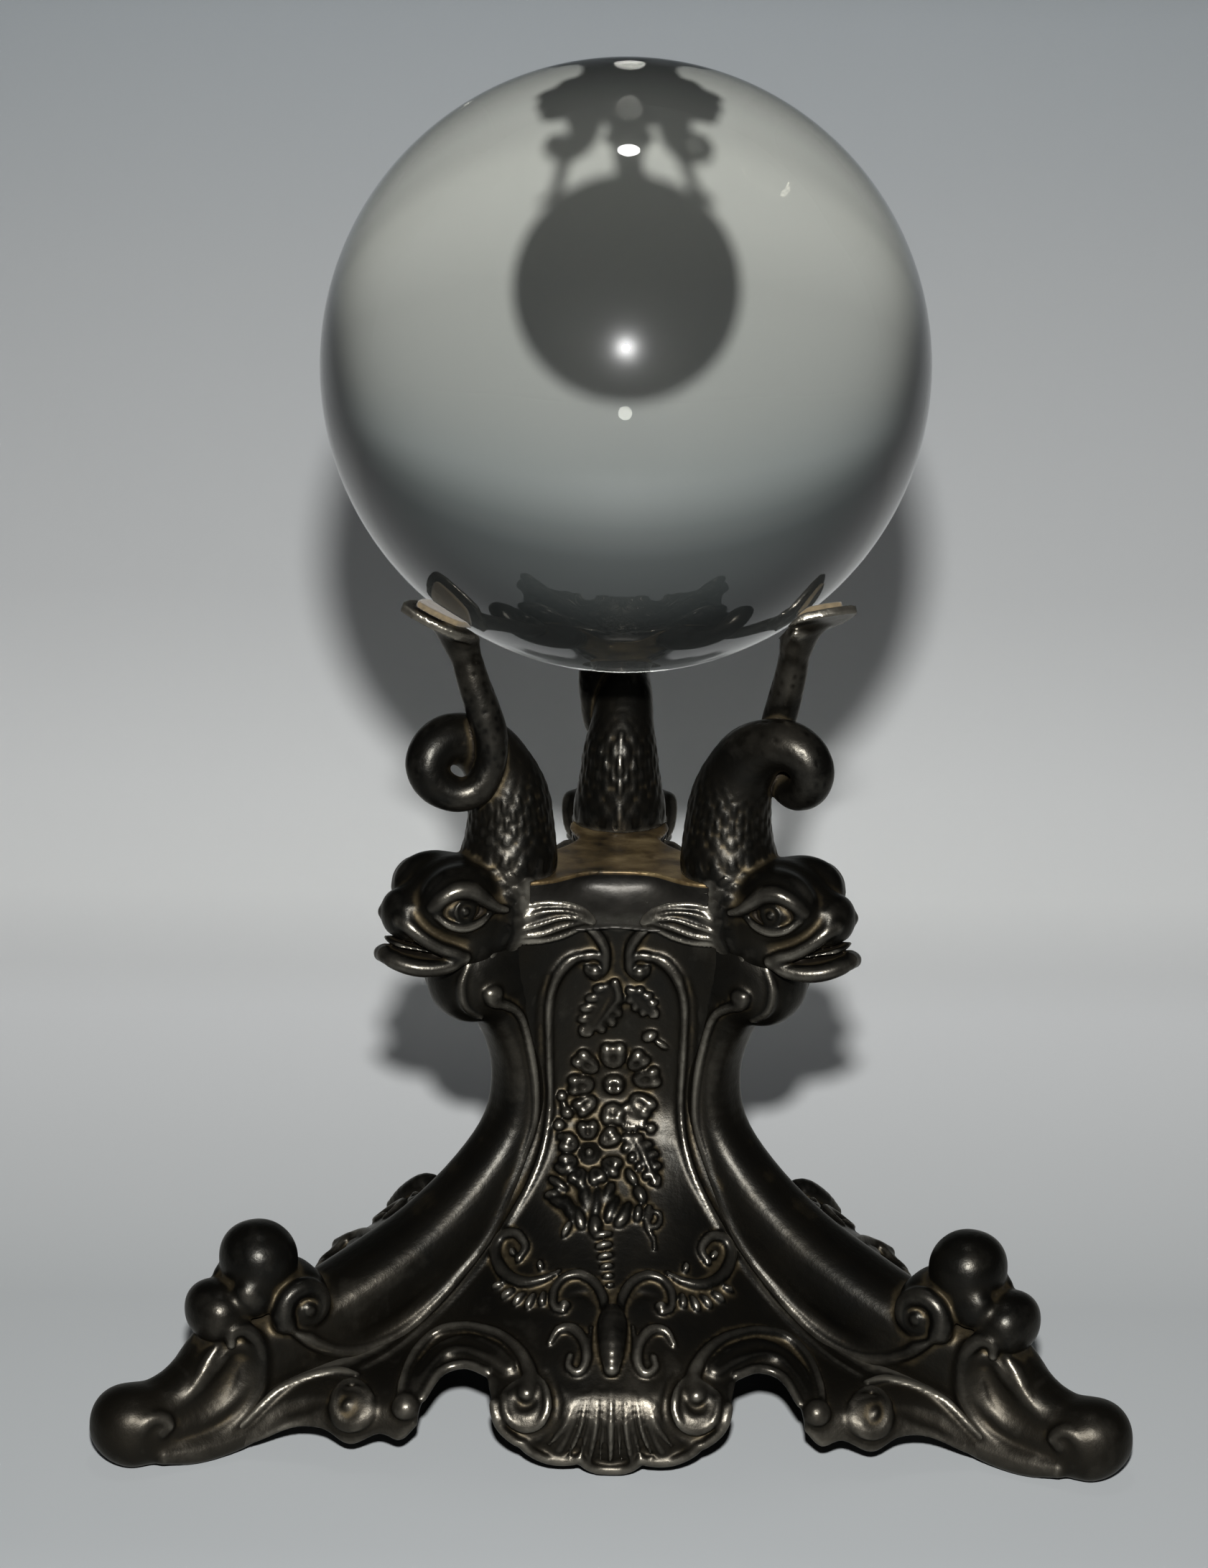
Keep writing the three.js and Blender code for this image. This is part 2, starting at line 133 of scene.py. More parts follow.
def rope_piece(start, end, travelled, length, side, power, relief):
    """One straight stretch of a rope as (low, high, distance)."""
    along = (end[:3] - start[:3]) / length
    round_section = side is None
    if round_section:
        side = np.cross(along, (0.31, 0.59, 0.74))
    wide = side - along * (side @ along)
    wide = wide / np.linalg.norm(wide)
    tall = np.cross(wide, along)
    reach = max(start[3], start[4], end[3], end[4])

    def distance(x, y, z):
        dx, dy, dz = x - start[0], y - start[1], z - start[2]
        t = np.clip((dx * along[0] + dy * along[1] + dz * along[2]) / length, 0, 1)
        dx = dx - t * (end[0] - start[0])
        dy = dy - t * (end[1] - start[1])
        dz = dz - t * (end[2] - start[2])
        radius = np.sqrt(dx**2 + dy**2 + dz**2)
        high = start[3] + t * (end[3] - start[3])
        if round_section and relief is None:
            return radius - high
        broad = start[4] + t * (end[4] - start[4])
        u = dx * tall[0] + dy * tall[1] + dz * tall[2]
        v = dx * wide[0] + dy * wide[1] + dz * wide[2]
        w = dx * along[0] + dy * along[1] + dz * along[2]
        ratio = (np.abs(u / high) ** power + np.abs(v / broad) ** power) ** (1 / power)
        ratio = np.sqrt(ratio**2 + (w / np.minimum(high, broad)) ** 2)
        skin = radius * (1 - 1 / np.maximum(ratio, 0.05))
        skin = np.where(ratio > 0.05, skin, -np.minimum(high, broad))
        if relief is not None:
            skin = skin - relief(travelled + t * length, np.arctan2(v, u))
        return skin

    low = np.minimum(start[:3], end[:3]) - reach
    high_corner = np.maximum(start[:3], end[:3]) + reach
    return low, high_corner, distance


class Clay:
    """A signed distance field in a box. Below 0 is metal."""

    def __init__(self, low, high, pitch):
        self.pitch = pitch
        self.low = np.array(low, float)
        self.count = np.ceil((np.array(high, float) - self.low) / pitch).astype(int) + 1
        self.field = np.full(self.count, FAR, np.float32)

    def window(self, low, high):
        first = np.clip(np.floor((low - self.low) / self.pitch).astype(int), 0, self.count)
        last = np.clip(np.ceil((high - self.low) / self.pitch).astype(int) + 1, 0, self.count)
        part = tuple(slice(a, max(a, b)) for a, b in zip(first, last))
        axes = [self.low[i] + self.pitch * np.arange(part[i].start, part[i].stop) for i in range(3)]
        shaped = [axes[0][:, None, None], axes[1][None, :, None], axes[2][None, None, :]]
        return part, [a.astype(np.float32) for a in shaped]

    def whole(self):
        return self.window(self.low, self.low + self.pitch * self.count)

    def merge(self, shape, blend, sign):
        margin = blend + 3 * self.pitch
        low = np.min([s[0] for s in shape], axis=0) - margin
        high = np.max([s[1] for s in shape], axis=0) + margin
        part, _ = self.window(low, high)
        origin = [p.start for p in part]
        own = np.full(self.field[part].shape, FAR, np.float32)
        if own.size == 0:
            return
        for piece_low, piece_high, distance in shape:
            inner, axes = self.window(piece_low - margin, piece_high + margin)
            local = tuple(slice(s.start - o, s.stop - o) for s, o in zip(inner, origin))
            own[local] = np.minimum(own[local], distance(*axes))
        self.blend_in(part, own, blend, sign)

    def blend_in(self, part, own, blend, sign):
        field = sign * self.field[part]
        soft = np.maximum(blend - np.abs(field - own), 0)
        merged = np.minimum(field, own) - soft * soft / (4 * blend)
        self.field[part] = sign * merged

    def add(self, shape, blend=0.5):
        self.merge(shape, blend, 1)

    def cut(self, shape, blend=0.5):
        self.merge(shape, blend, -1)

    def keep(self, distance, blend=0.01):
        """Keeps what is inside a distance given for the whole grid."""
        part, axes = self.whole()
        own = np.broadcast_to(-distance(*axes), self.field.shape).astype(np.float32)
        self.blend_in(part, own, blend, -1)

    def averaged(self, field, reach):
        """The field averaged over a cube of this half width."""
        n = max(1, int(round(reach / self.pitch)))
        for axis in range(3):
            padded = np.concatenate([np.repeat(np.take(field, [0], axis), n + 1, axis), field,
                                     np.repeat(np.take(field, [-1], axis), n, axis)], axis)
            total = np.cumsum(padded, axis, dtype=np.float64)
            size = field.shape[axis]
            upper = np.take(total, np.arange(size) + 2 * n + 1, axis)
            lower = np.take(total, np.arange(size), axis)
            field = ((upper - lower) / (2 * n + 1)).astype(np.float32)
        return field

    def close(self):
        """Puts air all round, so that the surface is closed."""
        for axis in range(3):
            for end in (0, -1):
                edge = [slice(None)] * 3
                edge[axis] = end
                self.field[tuple(edge)] = np.maximum(self.field[tuple(edge)], 0.3 * self.pitch)

    def surface(self):
        """Vertices and quads where the field crosses zero, one vertex in each crossed cell."""
        f = self.field
        inside = f < 0
        size = [n - 1 for n in f.shape]

        def at(array, corner):
            return array[tuple(slice(c, c + n) for c, n in zip(corner, size))]

        total = sum(at(inside, c).astype(np.uint8) for c in CORNERS)
        cells = np.argwhere((total > 0) & (total < 8))
        values = {c: f[tuple((cells + c).T)] for c in CORNERS}
        place = np.zeros((len(cells), 3))
        crossings = np.zeros(len(cells))
        for a in CORNERS:
            for axis in range(3):
                if a[axis] == 1:
                    continue
                b = tuple(a[i] + (i == axis) for i in range(3))
                fa, fb = values[a], values[b]
                crossed = (fa < 0) != (fb < 0)
                t = np.where(crossed, fa / np.where(crossed, fa - fb, 1), 0)
                for i in range(3):
                    place[:, i] += np.where(crossed, a[i] + (t if i == axis else 0), 0)
                crossings += crossed
        place = cells + place / crossings[:, None]
        number = np.full(size, -1, np.int64)
        number[tuple(cells.T)] = np.arange(len(cells))
        quads = []
        for axis in range(3):
            u, v = (axis + 1) % 3, (axis + 2) % 3
            here = [slice(None)] * 3
            there = [slice(None)] * 3
            here[axis], there[axis] = slice(0, -1), slice(1, None)
            starts, ends = inside[tuple(here)], inside[tuple(there)]
            edges = np.argwhere(starts != ends)
            good = (edges[:, u] > 0) & (edges[:, v] > 0)
            good &= (edges[:, u] < size[u]) & (edges[:, v] < size[v])
            edges = edges[good]
            loop = []
            for du, dv in ((-1, -1), (0, -1), (0, 0), (-1, 0)):
                cell = edges.copy()
                cell[:, u] += du
                cell[:, v] += dv
                loop.append(number[tuple(cell.T)])
            quad = np.stack(loop, 1)
            outward = starts[tuple(edges.T)]
            quad[~outward] = quad[~outward][:, ::-1]
            quads.append(quad)
        return place, np.vstack(quads)

    def sample(self, field, place):
        """The field between grid points, at places in grid steps."""
        base = np.clip(np.floor(place).astype(int), 0, np.array(field.shape) - 2)
        part = place - base
        total = 0
        for corner in CORNERS:
            weight = np.prod(np.abs(1 - np.array(corner) - part), axis=1)
            total = total + weight * field[tuple((base + corner).T)]
        return total

    def mesh(self, name, smoothing=2):
        """A mesh in metres. Its fine and broad attributes are above 0 on high spots and below 0 in hollows;
        the casting's colour reads them for wear and patina, and also for a painted highlight on high spots
        and painted shade in the deepest hollows.
        """
        self.close()
        place, quads = self.surface()
        place = smoothed(place, quads, smoothing)
        band = np.clip(self.field, -4, 4)
        fine_reach, broad_reach = 0.9, 2.2
        fine = self.sample(self.averaged(band, fine_reach), place) / fine_reach
        broad = self.averaged(self.averaged(band, broad_reach), broad_reach)
        broad = self.sample(broad, place) / broad_reach
        mesh = bpy.data.meshes.new(name)
        points = (self.low + place * self.pitch) * MM
        mesh.vertices.add(len(points))
        mesh.vertices.foreach_set("co", points.astype(np.float32).ravel())
        mesh.loops.add(quads.size)
        mesh.loops.foreach_set("vertex_index", quads.ravel().astype(np.int32))
        mesh.polygons.add(len(quads))
        mesh.polygons.foreach_set("loop_start", np.arange(0, quads.size, 4, dtype=np.int32))
        mesh.polygons.foreach_set("use_smooth", np.ones(len(quads), bool))
        mesh.update(calc_edges=True)
        for label, values in (("wear_and_shading_fine", fine), ("wear_and_shading_broad", broad)):
            attribute = mesh.attributes.new(label, "FLOAT", "POINT")
            attribute.data.foreach_set("value", values.astype(np.float32))
        return mesh


def smoothed(place, quads, rounds):
    """Takes the grid's steps out of a mesh: each round pulls vertices together and then pushes them back."""
    edges = np.vstack([quads[:, [i, (i + 1) % 4]] for i in range(4)])
    count = np.bincount(edges[:, 0], minlength=len(place)) + np.bincount(edges[:, 1], minlength=len(place))
    for _ in range(rounds):
        for weight in (0.5, -0.52):
            middle = np.zeros_like(place)
            for i in range(3):
                middle[:, i] += np.bincount(edges[:, 0], place[edges[:, 1], i], len(place))
                middle[:, i] += np.bincount(edges[:, 1], place[edges[:, 0], i], len(place))
            place = place + weight * (middle / count[:, None] - place)
    return place


def spiral(centre, outer, inner, start, sweep, count=14):
    """Points of a spiral in a plane, from the outer radius in to the inner one. Angles are in degrees."""
    points = []
    for i in range(count):
        t = i / (count - 1)
        radius = outer + (inner - outer) * t
        points.append(centre + radius * heading(start + sweep * t))
    return points


# ---------------------------------------------------------------- leg

LEG_STATIONS = [
    # out, across, height, half height, half width
    (26, 0, 96, 7, 8),
    (27.4, 0, 84, 7, 8),
    (22.5, 0, 72, 5.6, 6.4),
    (19.8, 0, 62, 5.6, 6.2),
    (21.3, 0, 51, 5.8, 6.4),
    (28, 0, 41.2, 6.4, 7),
    (39, 0, 31.8, 6.9, 7.8),
    (52, 0, 24.9, 7.1, 8.4),
    (64, 0, 20.2, 7, 8.2),
    (76, 0, 17.5, 7.2, 7.2),
    (83, 0, 13.8, 6.8, 6.4),
    (90, 0, 10, 5.6, 5.8),
    (98, 0, 7.5, 5.4, 6),
]
WEB_STATIONS = [
    # the same for the body below the knee, down to the leg's lower edge
    (58, 0, 18.5, 6, 7.6),
    (68, 0, 14.6, 6.6, 7.2),
    (76, 0, 11, 6.8, 6.8),
    (84, 0, 7.2, 6.2, 6.4),
    (92, 0, 6.2, 6, 6.8),
    (100, 0, 7, 6.4, 7),
]
LEG_WALL = 2.6
LIP_PATH = [
    # out, across, height of the bead along each side of the leg, down to the knee's volute
    (31.8, 8.4, 80.8),
    (31, 8.5, 79.2),
    (28.4, 8.2, 78.2),
    (24.8, 7.4, 75.4),
    (22.3, 6.5, 69),
    (20.8, 6.2, 61),
    (21, 6.3, 54),
    (23.2, 6.5, 47.6),
    (26.4, 6.8, 40.8),
    (31, 7.2, 32.8),
    (37.4, 7.6, 26.4),
    (43.6, 8, 21.4),
    (49.5, 8.2, 17.9),
    (56, 8.2, 16.3),
    (62, 8.2, 17),
    (67.4, 8.2, 19.8),
    (71.2, 8.2, 23.6),
]
KNEE = {"centre": (68.4, 26.4), "radius": 4.6, "across": 8.2}
KNOBS = [((74.3, 0, 34.4), (6.9, 7.4, 6.9)), ((82.6, 0, 25.9), (5.5, 6.8, 5.6))]
FOOT_LIP = [(82.6, 21.6), (82.3, 23.9), (79.9, 24), (77.4, 21), (76.6, 16.6),
            (77.8, 11), (81.2, 6.7), (86.6, 4.2), (92, 3.8)]
FOOT_CREST = [(83.4, 21.4), (86.2, 18.3), (88.6, 14.8), (91.6, 11.6), (95, 10)]
FOOT_BALL = {"centre": (99.6, 0, 7.4), "radii": (7.2, 7.2, 6.9)}
FOOT_CURL = {"centre": (97.0, 8.0), "radius": 2.8, "across": 6.2}


def on_side(points, across, side):
    return [(out, side * across, height) for out, height in points]


def sided(points, side):
    return [(out, side * across, height) for out, across, height in points]


def leg_top(clay):
    """The round lobe under the dolphin's chin, with a small volute on each side."""
    clay.add(box_egg((30.6, 0, 82.6), (8.3, 8.4, 9.2), power=2.4), 1.2)
    for side in SIDES:
        clay.add(box_egg((30.8, side * 8.2, 80.6), (1.9, 1.7, 1.9)), 0.8)
        lobe_edge = [(35.1, 86.2), (36.4, 82.6), (35.6, 78.6), (32.4, 75.8)]
        clay.add(rope(on_side(lobe_edge, 6.6, side), (0.5, 0.9, 0.9, 0.4)), 0.8)


def leg_lips(clay):
    """The thin bead along each side of the leg, and the volute in which it ends at the knee."""
    for side in SIDES:
        body = [(out, across - 2.4, height + 0.5) for out, across, height in LIP_PATH[3:]]
        centre, radius, across = KNEE["centre"], KNEE["radius"], KNEE["across"]
        hollow = (centre[0], side * (across + 1.6), centre[1])
        body_sizes = [1.2] * 5 + [1.8, 2.2, 2.4, 2.6, 2.6, 2.6, 2.6, 2.4, 2.2]
        bead_sizes = [1.1, 1.1, 1.0] + [0.8] * 7 + [0.9, 1.0, 1.1, 1.2, 1.3, 1.4, 1.5]
        clay.add(rope(sided(body, side), body_sizes), 1.6)
        clay.add(rope(sided(LIP_PATH, side), bead_sizes), 0.6)
        clay.cut(box_egg(hollow, (4.2, 3.0, 4.2)), 0.9)
        turns = spiral(centre, radius, 1.9, -25, 385, 22)
        coil = on_side(turns, across - 0.9, side)
        clay.add(rope(coil, np.linspace(2.3, 1.2, len(coil)), steps=2), 0.8)
        clay.add(box_egg((centre[0] - 0.3, side * (across - 0.9), centre[1] - 0.3), (2.1, 1.9, 2.1)), 0.6)


def leg_knee(clay):
    """Two round knobs on the knee, and the drum whose ends are its volutes."""
    centre = KNEE["centre"]
    clay.add(box_egg((centre[0], 0, centre[1]), (5.8, KNEE["across"] - 0.2, 5.8), power=3), 1.6)
    for middle, radii in KNOBS:
        clay.add(box_egg(middle, radii, power=2.2), 1.0)
    for side in SIDES:
        clay.add(box_egg((77, side * 4.6, 29.4), (4.4, 2.8, 4.2)), 1.2)


def leg_foot(clay):
    """The body and scooped scroll below the knee, and the ball foot."""
    web = np.array(WEB_STATIONS, float)
    clay.add(rope(web[:, :3], web[:, 3:], side=SIDEWAYS, power=3.2), 1.6)
    for side in SIDES:
        skirt = on_side([(74, 6), (79, 4.2), (84, 3.1), (90, 2.6), (96, 3)], 6.4, side)
        clay.add(rope(skirt, [1.4, 2.2, 2.4, 2.3, 1.6]), 1.4)
        scoop = on_side([(81.4, 18), (83.8, 14.4), (87.8, 11.2), (92.4, 9.6)], 9.4, side)
        clay.cut(rope(scoop, [(3.0, 4.4), (3.8, 4.8), (3.4, 4.2), (2.4, 3.2)], side=SIDEWAYS), 1.6)
    crest_sizes = [(1.4, 4.6), (1.4, 5.0), (1.4, 5.2), (1.3, 5.0), (1.0, 4.4)]
    clay.add(rope(on_side(FOOT_CREST, 0, 1), crest_sizes, side=SIDEWAYS, power=3), 0.9)
    clay.add(box_egg(FOOT_BALL["centre"], FOOT_BALL["radii"], power=2.1), 1.5)
    for side in SIDES:
        sizes = [0.9, 1.3, 1.5, 1.5, 1.5, 1.5, 1.5, 1.4, 1.2]
        clay.add(rope(on_side(FOOT_LIP, 6.2, side), sizes), 1.0)
        inner = [(80.2, 15.6), (81.4, 12), (84.4, 8.8), (88.8, 6.9), (93.4, 6.5)]
        clay.add(rope(on_side(inner, 5.2, side), (0.5, 0.8, 0.9, 0.8, 0.5)), 0.6)
        centre, radius, across = FOOT_CURL["centre"], FOOT_CURL["radius"], FOOT_CURL["across"]
        turns = spiral(centre, radius + 1.6, 1.8, -100, 250, 16)
        reach = np.linspace(-1.0, 0.5, len(turns))
        curl = [(u, side * (across + d), v) for (u, v), d in zip(turns, reach)]
        clay.add(rope(curl, np.linspace(1.6, 1.3, len(curl)), steps=2), 1.0)
        clay.add(box_egg((centre[0] - 0.4, side * (across + 0.2), centre[1]), (1.7, 1.4, 1.7)), 0.6)


def leg_mesh():
    clay = Clay((11, -12, -0.9), (109, 12, 94), LEG_PITCH)
    stations = np.array(LEG_STATIONS, float)
    clay.add(rope(stations[:, :3], stations[:, 3:], side=SIDEWAYS, power=2.7), 0.5)
    leg_top(clay)
    leg_knee(clay)
    leg_foot(clay)
    leg_lips(clay)
    inwards = 3.4
    core = stations[:9].copy()
    core[:, 0] -= inwards
    core[:, 2] -= inwards
    core[:, 3:] -= LEG_WALL
    clay.cut(rope(core[:, :3], core[:, 3:], side=SIDEWAYS), 0.5)
    clay.keep(lambda x, y, z: np.maximum(-z, z - NECK_Z) + 0 * x + 0 * y)
    return clay.mesh("leg")


# ---------------------------------------------------------------- deck


def deck_distance(x, y):
    """Distance in plan to the deck's edge: three round lobes joined by hollow sides."""
    lobe_out, lobe_radius, waist, blend = 20.0, 9.6, 11.6, 9.0
    plan = np.sqrt(x**2 + y**2) - waist
    for azimuth in LEG_AZIMUTHS.values():
        lobe_x, lobe_y = lobe_out * heading(azimuth)
        lobe = np.sqrt((x - lobe_x) ** 2 + (y - lobe_y) ** 2) - lobe_radius
        soft = np.maximum(blend - np.abs(plan - lobe), 0)
        plan = np.minimum(plan, lobe) - soft * soft / (4 * blend)
    return plan


def deck_mesh():
    """A hollow plate with a cove under its rim, which flares out above each panel."""
    clay = Clay((-32, -32, NECK_Z - 1.2), (32, 32, DECK_TOP_Z + 1.2), DECK_PITCH)
    part, (x, y, z) = clay.whole()
    plan = deck_distance(x, y)
    middle = (DECK_TOP_Z + DECK_LOW_Z) / 2
    half = (DECK_TOP_Z - DECK_LOW_Z) / 2
    cove_depth, flare_reach, flare_half_width, wall = 1.5, 5.0, 11, 2.8
    cove = cove_depth * (1 - ((z - middle + 0.4) / half) ** 2)  # deepest half way up
    rise = np.clip((z - DECK_LOW_Z) / (2 * half - 1.2), 0, 1)
    flare = 0
    for azimuth in PANEL_AZIMUTHS.values():
        ahead_x, ahead_y = heading(azimuth)
        out = x * ahead_x + y * ahead_y
        across = y * ahead_x - x * ahead_y
        flare = flare + np.exp(-((across / flare_half_width) ** 4)) * np.clip(out / 6, 0, 1)
    clay.field[part] = plan + cove - flare_reach * flare * (1 - rise) ** 1.5
    inside = np.maximum(plan + wall + 1.2, z - (DECK_TOP_Z - wall))
    clay.keep(lambda x, y, z: np.maximum(z - DECK_TOP_Z, DECK_LOW_Z - 0.6 - z) + 0 * x + 0 * y, 0.8)
    clay.field[part] = np.maximum(clay.field[part], -inside)
    for azimuth in LEG_AZIMUTHS.values():
        place = SCREW_OUT * heading(azimuth)
        hole = rope([(*place, DECK_LOW_Z - 3), (*place, DECK_TOP_Z + 3)], 2.3, steps=1)
        clay.cut(hole, 0.2)
    return clay.mesh("deck")


# ---------------------------------------------------------------- dolphin

BODY_STATIONS = [
    # out, across, height, half height, half width
    (27, 0, 92, 8.4, 8.6),
    (23.6, 0, 102, 8.5, 8.6),
    (23, 0, 109, 7.6, 7.4),
    (23.4, 0, 114.5, 7.1, 6.7),
    (24.8, -0.3, 119.4, 6.5, 6.1),
    (27.6, -0.6, 123.8, 5.8, 5.6),
    (31.4, -0.8, 126.2, 5, 5),
    (35.5, -0.8, 126.8, 4.6, 4.6),
    (38.6, -0.5, 125.2, 4.3, 4.3),
    (39.9, 0, 122.3, 4.0, 4.0),
    (38.6, 1, 119.1, 3.6, 3.6),
    (35.2, 2.7, 117.4, 3.2, 3.2),
    (31.9, 4.2, 118.7, 3, 3),
    (29.9, 5, 123.2, 2.9, 2.9),
    (29.9, 5.2, 128.2, 3.1, 3.1),
    (31.3, 4.8, 133.2, 3.1, 3.1),
    (33, 4, 138.8, 2.9, 2.9),
    (34.2, 3.2, 144, 2.7, 2.9),
    (35.2, 2.6, 148, 2.8, 3.6),
]
SCALE_WIDTH = 2.75
SCALE_STEP = 1.85
SCALES_END = 26.0  # along the body, where the scales give way to pits
FLUKE = {"place": (38, 1.8, 149.2), "slope": -0.39, "lean": -0.26, "half": (9, 6.8)}
FLUKE_UP = np.array((-0.38, 0.24, 0.9))
FIN_LINE = [
    # out, across, height and half height of the fin's middle line, from the cheek to the tip
    (17.6, 27.5, 91.4, 3.6),
    (18.9, 22.5, 91.6, 3.5),
    (19.4, 18, 92.4, 3.4),
    (19.6, 14, 93.4, 3.6),
    (19.4, 10, 94.2, 3.1),
    (19.0, 6.6, 94.2, 1.9),
    (18.6, 4.6, 93.4, 0.7),
]
FIN_STRANDS = 9


def scale_height(along, angle):
    """Overlapping rounded scales with their free edges towards the tail."""
    around = angle * 7.0
    height = 0
    for shift in (0, 1):
        row = np.floor(along / SCALE_STEP - shift)
        offset = np.where(np.mod(row, 2) == 0, 0, SCALE_WIDTH / 2)
        column = np.round((around - offset) / SCALE_WIDTH)
        dv = (around - offset - column * SCALE_WIDTH) / (0.56 * SCALE_WIDTH)
        du = (along / SCALE_STEP - row) / 1.62
        reach = np.sqrt(np.maximum(1 - dv**2, 0))
        bulge = np.where(du < reach, (0.35 + 0.65 * du) * (1 - 0.5 * dv**2), 0)
        height = np.maximum(height, bulge)
    return height


def pit_depth(along, angle):
    """Small chased pits, scattered by a fixed rule."""
    u, v = along / 2.1, angle * 3.4 / 2.1
    depth = 0
    for du in (-1, 0, 1):
        for dv in (-1, 0, 1):
            cu, cv = np.floor(u) + du, np.floor(v) + dv
            random_u = np.mod(np.sin(cu * 12.99 + cv * 78.23) * 437.58, 1)
            random_v = np.mod(np.sin(cu * 39.35 + cv * 11.14) * 237.41, 1)
            gap = np.sqrt((u - cu - random_u) ** 2 + ((v - cv - random_v) * 1.4) ** 2)
            depth = np.maximum(depth, np.clip(1 - gap / 0.34, 0, 1) * (random_u > 0.25))
    return depth


def body_relief(along, angle):
    """Scales and a back ridge on the body, which fade into chased pits on the tail."""
    fade = np.clip((SCALES_END + 3 - along) / 6, 0, 1)
    ridge = 0.35 * np.exp(-((np.abs(angle) - math.pi) / 0.14) ** 2) * fade
    fading_scales = 0.6 * scale_height(along, angle) * fade
    # pits lie on the coil's crown and along the tail's stem, and are shallow elsewhere
    crown = 0.35 + 0.65 * (np.cos(angle * 1.5 + along * 0.11) > -0.2)
    chased = np.clip((along - SCALES_END) / 8, 0, 1) * crown
    return fading_scales + ridge - 0.42 * pit_depth(along, angle) * chased


def dolphin_body(clay):
    stations = np.array(BODY_STATIONS, float)
    clay.add(rope(stations[:, :3], stations[:, 3:], side=SIDEWAYS, steps=6, relief=body_relief), 1.0)


def dolphin_head(clay):
    clay.add(box_egg((33.6, 0, 95.4), (10.4, 9.4, 9.0)), 1.5)
    clay.add(box_egg((40.4, 0, 94.6), (7.4, 6.6, 5.4)), 2.5)
    clay.add(box_egg((44.9, 0, 95.8), (3.6, 5.4, 4.4)), 2.0)
    clay.add(box_egg((30, 0, 91), (8.4, 8.4, 6.4)), 2.0)
    clay.add(box_egg((35.4, 0, 99.6), (8.0, 7.6, 5.0), Matrix.Rotation(math.radians(12), 3, "Y")), 2.5)


def dolphin_mouth(clay):
    """The gape with its two full lips and the folds between them."""
    chin = [(32, 0, 87.6), (38, 0, 87), (43, 0, 87), (47.4, 0, 88.4)]
    clay.add(rope(chin, [(3.4, 7.2), (2.4, 6.6), (2.1, 5.4), (1.5, 3.6)], side=SIDEWAYS, power=2.4), 1.8)
    clay.add(box_egg((33.4, 0, 89.8), (6.6, 8.3, 5.4)), 1.6)
    gape = [(38.4, 0, 88.9), (41, 0, 89.1), (44, 0, 89.9), (50, 0, 91.4)]
    clay.cut(rope(gape, [(0.2, 10), (0.5, 10), (0.8, 10), (1.0, 10)], side=SIDEWAYS, power=4), 0.8)
    fold = [(38.6, 0, 88.9), (41, 0, 89.1), (44, 0, 89.9), (47, 0, 90.6)]
    clay.add(rope(fold, [(0.4, 6.6), (0.5, 5.9), (0.6, 4.8), (0.6, 3.6)], side=SIDEWAYS), 0.3)
    upper = [(36.6, 7.9, 88.4), (38.6, 7.6, 89.4), (41.2, 6.9, 90.8),
             (43.8, 6, 92.6), (45.8, 4.8, 94.4), (47.2, 3.4, 95.4)]
    lower = [(36.6, 7.9, 88.2), (39.4, 7.4, 87), (42.8, 6.3, 86.6),
             (45.8, 4.8, 87), (48, 2.6, 87.8), (48.4, 0, 88.3)]
    furrow = [(47.4, 5, 99.2), (45.2, 6.2, 97), (42.6, 7.4, 94.4), (39.6, 8.4, 92.2), (36.4, 8.9, 91)]
    for side in SIDES:
        clay.add(rope(sided(upper, side), (1.1, 1.4, 1.5, 1.5, 1.4, 1.0)), 0.9)
        clay.add(rope(sided(lower, side), (1.0, 1.4, 1.6, 1.6, 1.5, 1.4)), 0.8)
        clay.cut(rope(sided(furrow, side), (0.4, 0.8, 0.9, 0.9, 0.5)), 1.2)


def dolphin_eye(clay):
    """The eye in its lids, and the brow close above it."""
    brow = [(42.6, 7.6, 98.4), (41.2, 8.9, 100.3), (38.8, 9.6, 101.5), (36.2, 9.9, 101.2),
            (33.6, 10, 99.4), (31.2, 9.8, 97.6), (28.8, 9.4, 96.6)]
    lid = [(42.2, 8.2, 96.8), (40, 9.0, 95.1), (37.2, 9.5, 94.4), (34.4, 9.6, 95), (32.2, 9.4, 96.4)]
    for side in SIDES:
        middle = np.array((37.2, side * 9.1, 97.5))
        clay.add(box_egg((37.4, side * 5.6, 98), (6.4, 4.2, 5.4)), 1.6)
        clay.add(box_egg((36.6, side * 5.8, 100.4), (6.2, 3.8, 4.2)), 2.5)
        clay.cut(box_egg(middle + (0, side * 0.9, 0.1), (4.8, 2.4, 3.1)), 0.9)
        clay.add(box_egg(middle + (0, -side * 1.0, 0), (3.4, 1.7, 2.5)), 0.3)
        angles = np.linspace(0, 2 * math.pi, 13)
        ring = [middle + (1.8 * math.cos(a), side * 0.25, 1.8 * math.sin(a)) for a in angles]
        clay.add(rope(ring, 0.42, steps=2), 0.3)
        clay.add(box_egg(middle + (0, side * 0.1, 0), (1.05, 0.95, 1.05)), 0.2)
        clay.add(rope(sided(brow, side), (0.7, 1.1, 1.4, 1.5, 1.3, 1.0, 0.5)), 1.4)
        clay.add(rope(sided(lid, side), (0.5, 0.8, 0.9, 0.8, 0.5)), 0.7)


def in_panel_frame(points, side):
    """Points of the panel beside a dolphin, turned to the dolphin's frame."""
    ahead_x, ahead_y = heading(60 * side)
    turned = []
    for out, across, height in points:
        y = -side * across
        turned.append((out * ahead_x - y * ahead_y, out * ahead_y + y * ahead_x, height))
    return turned


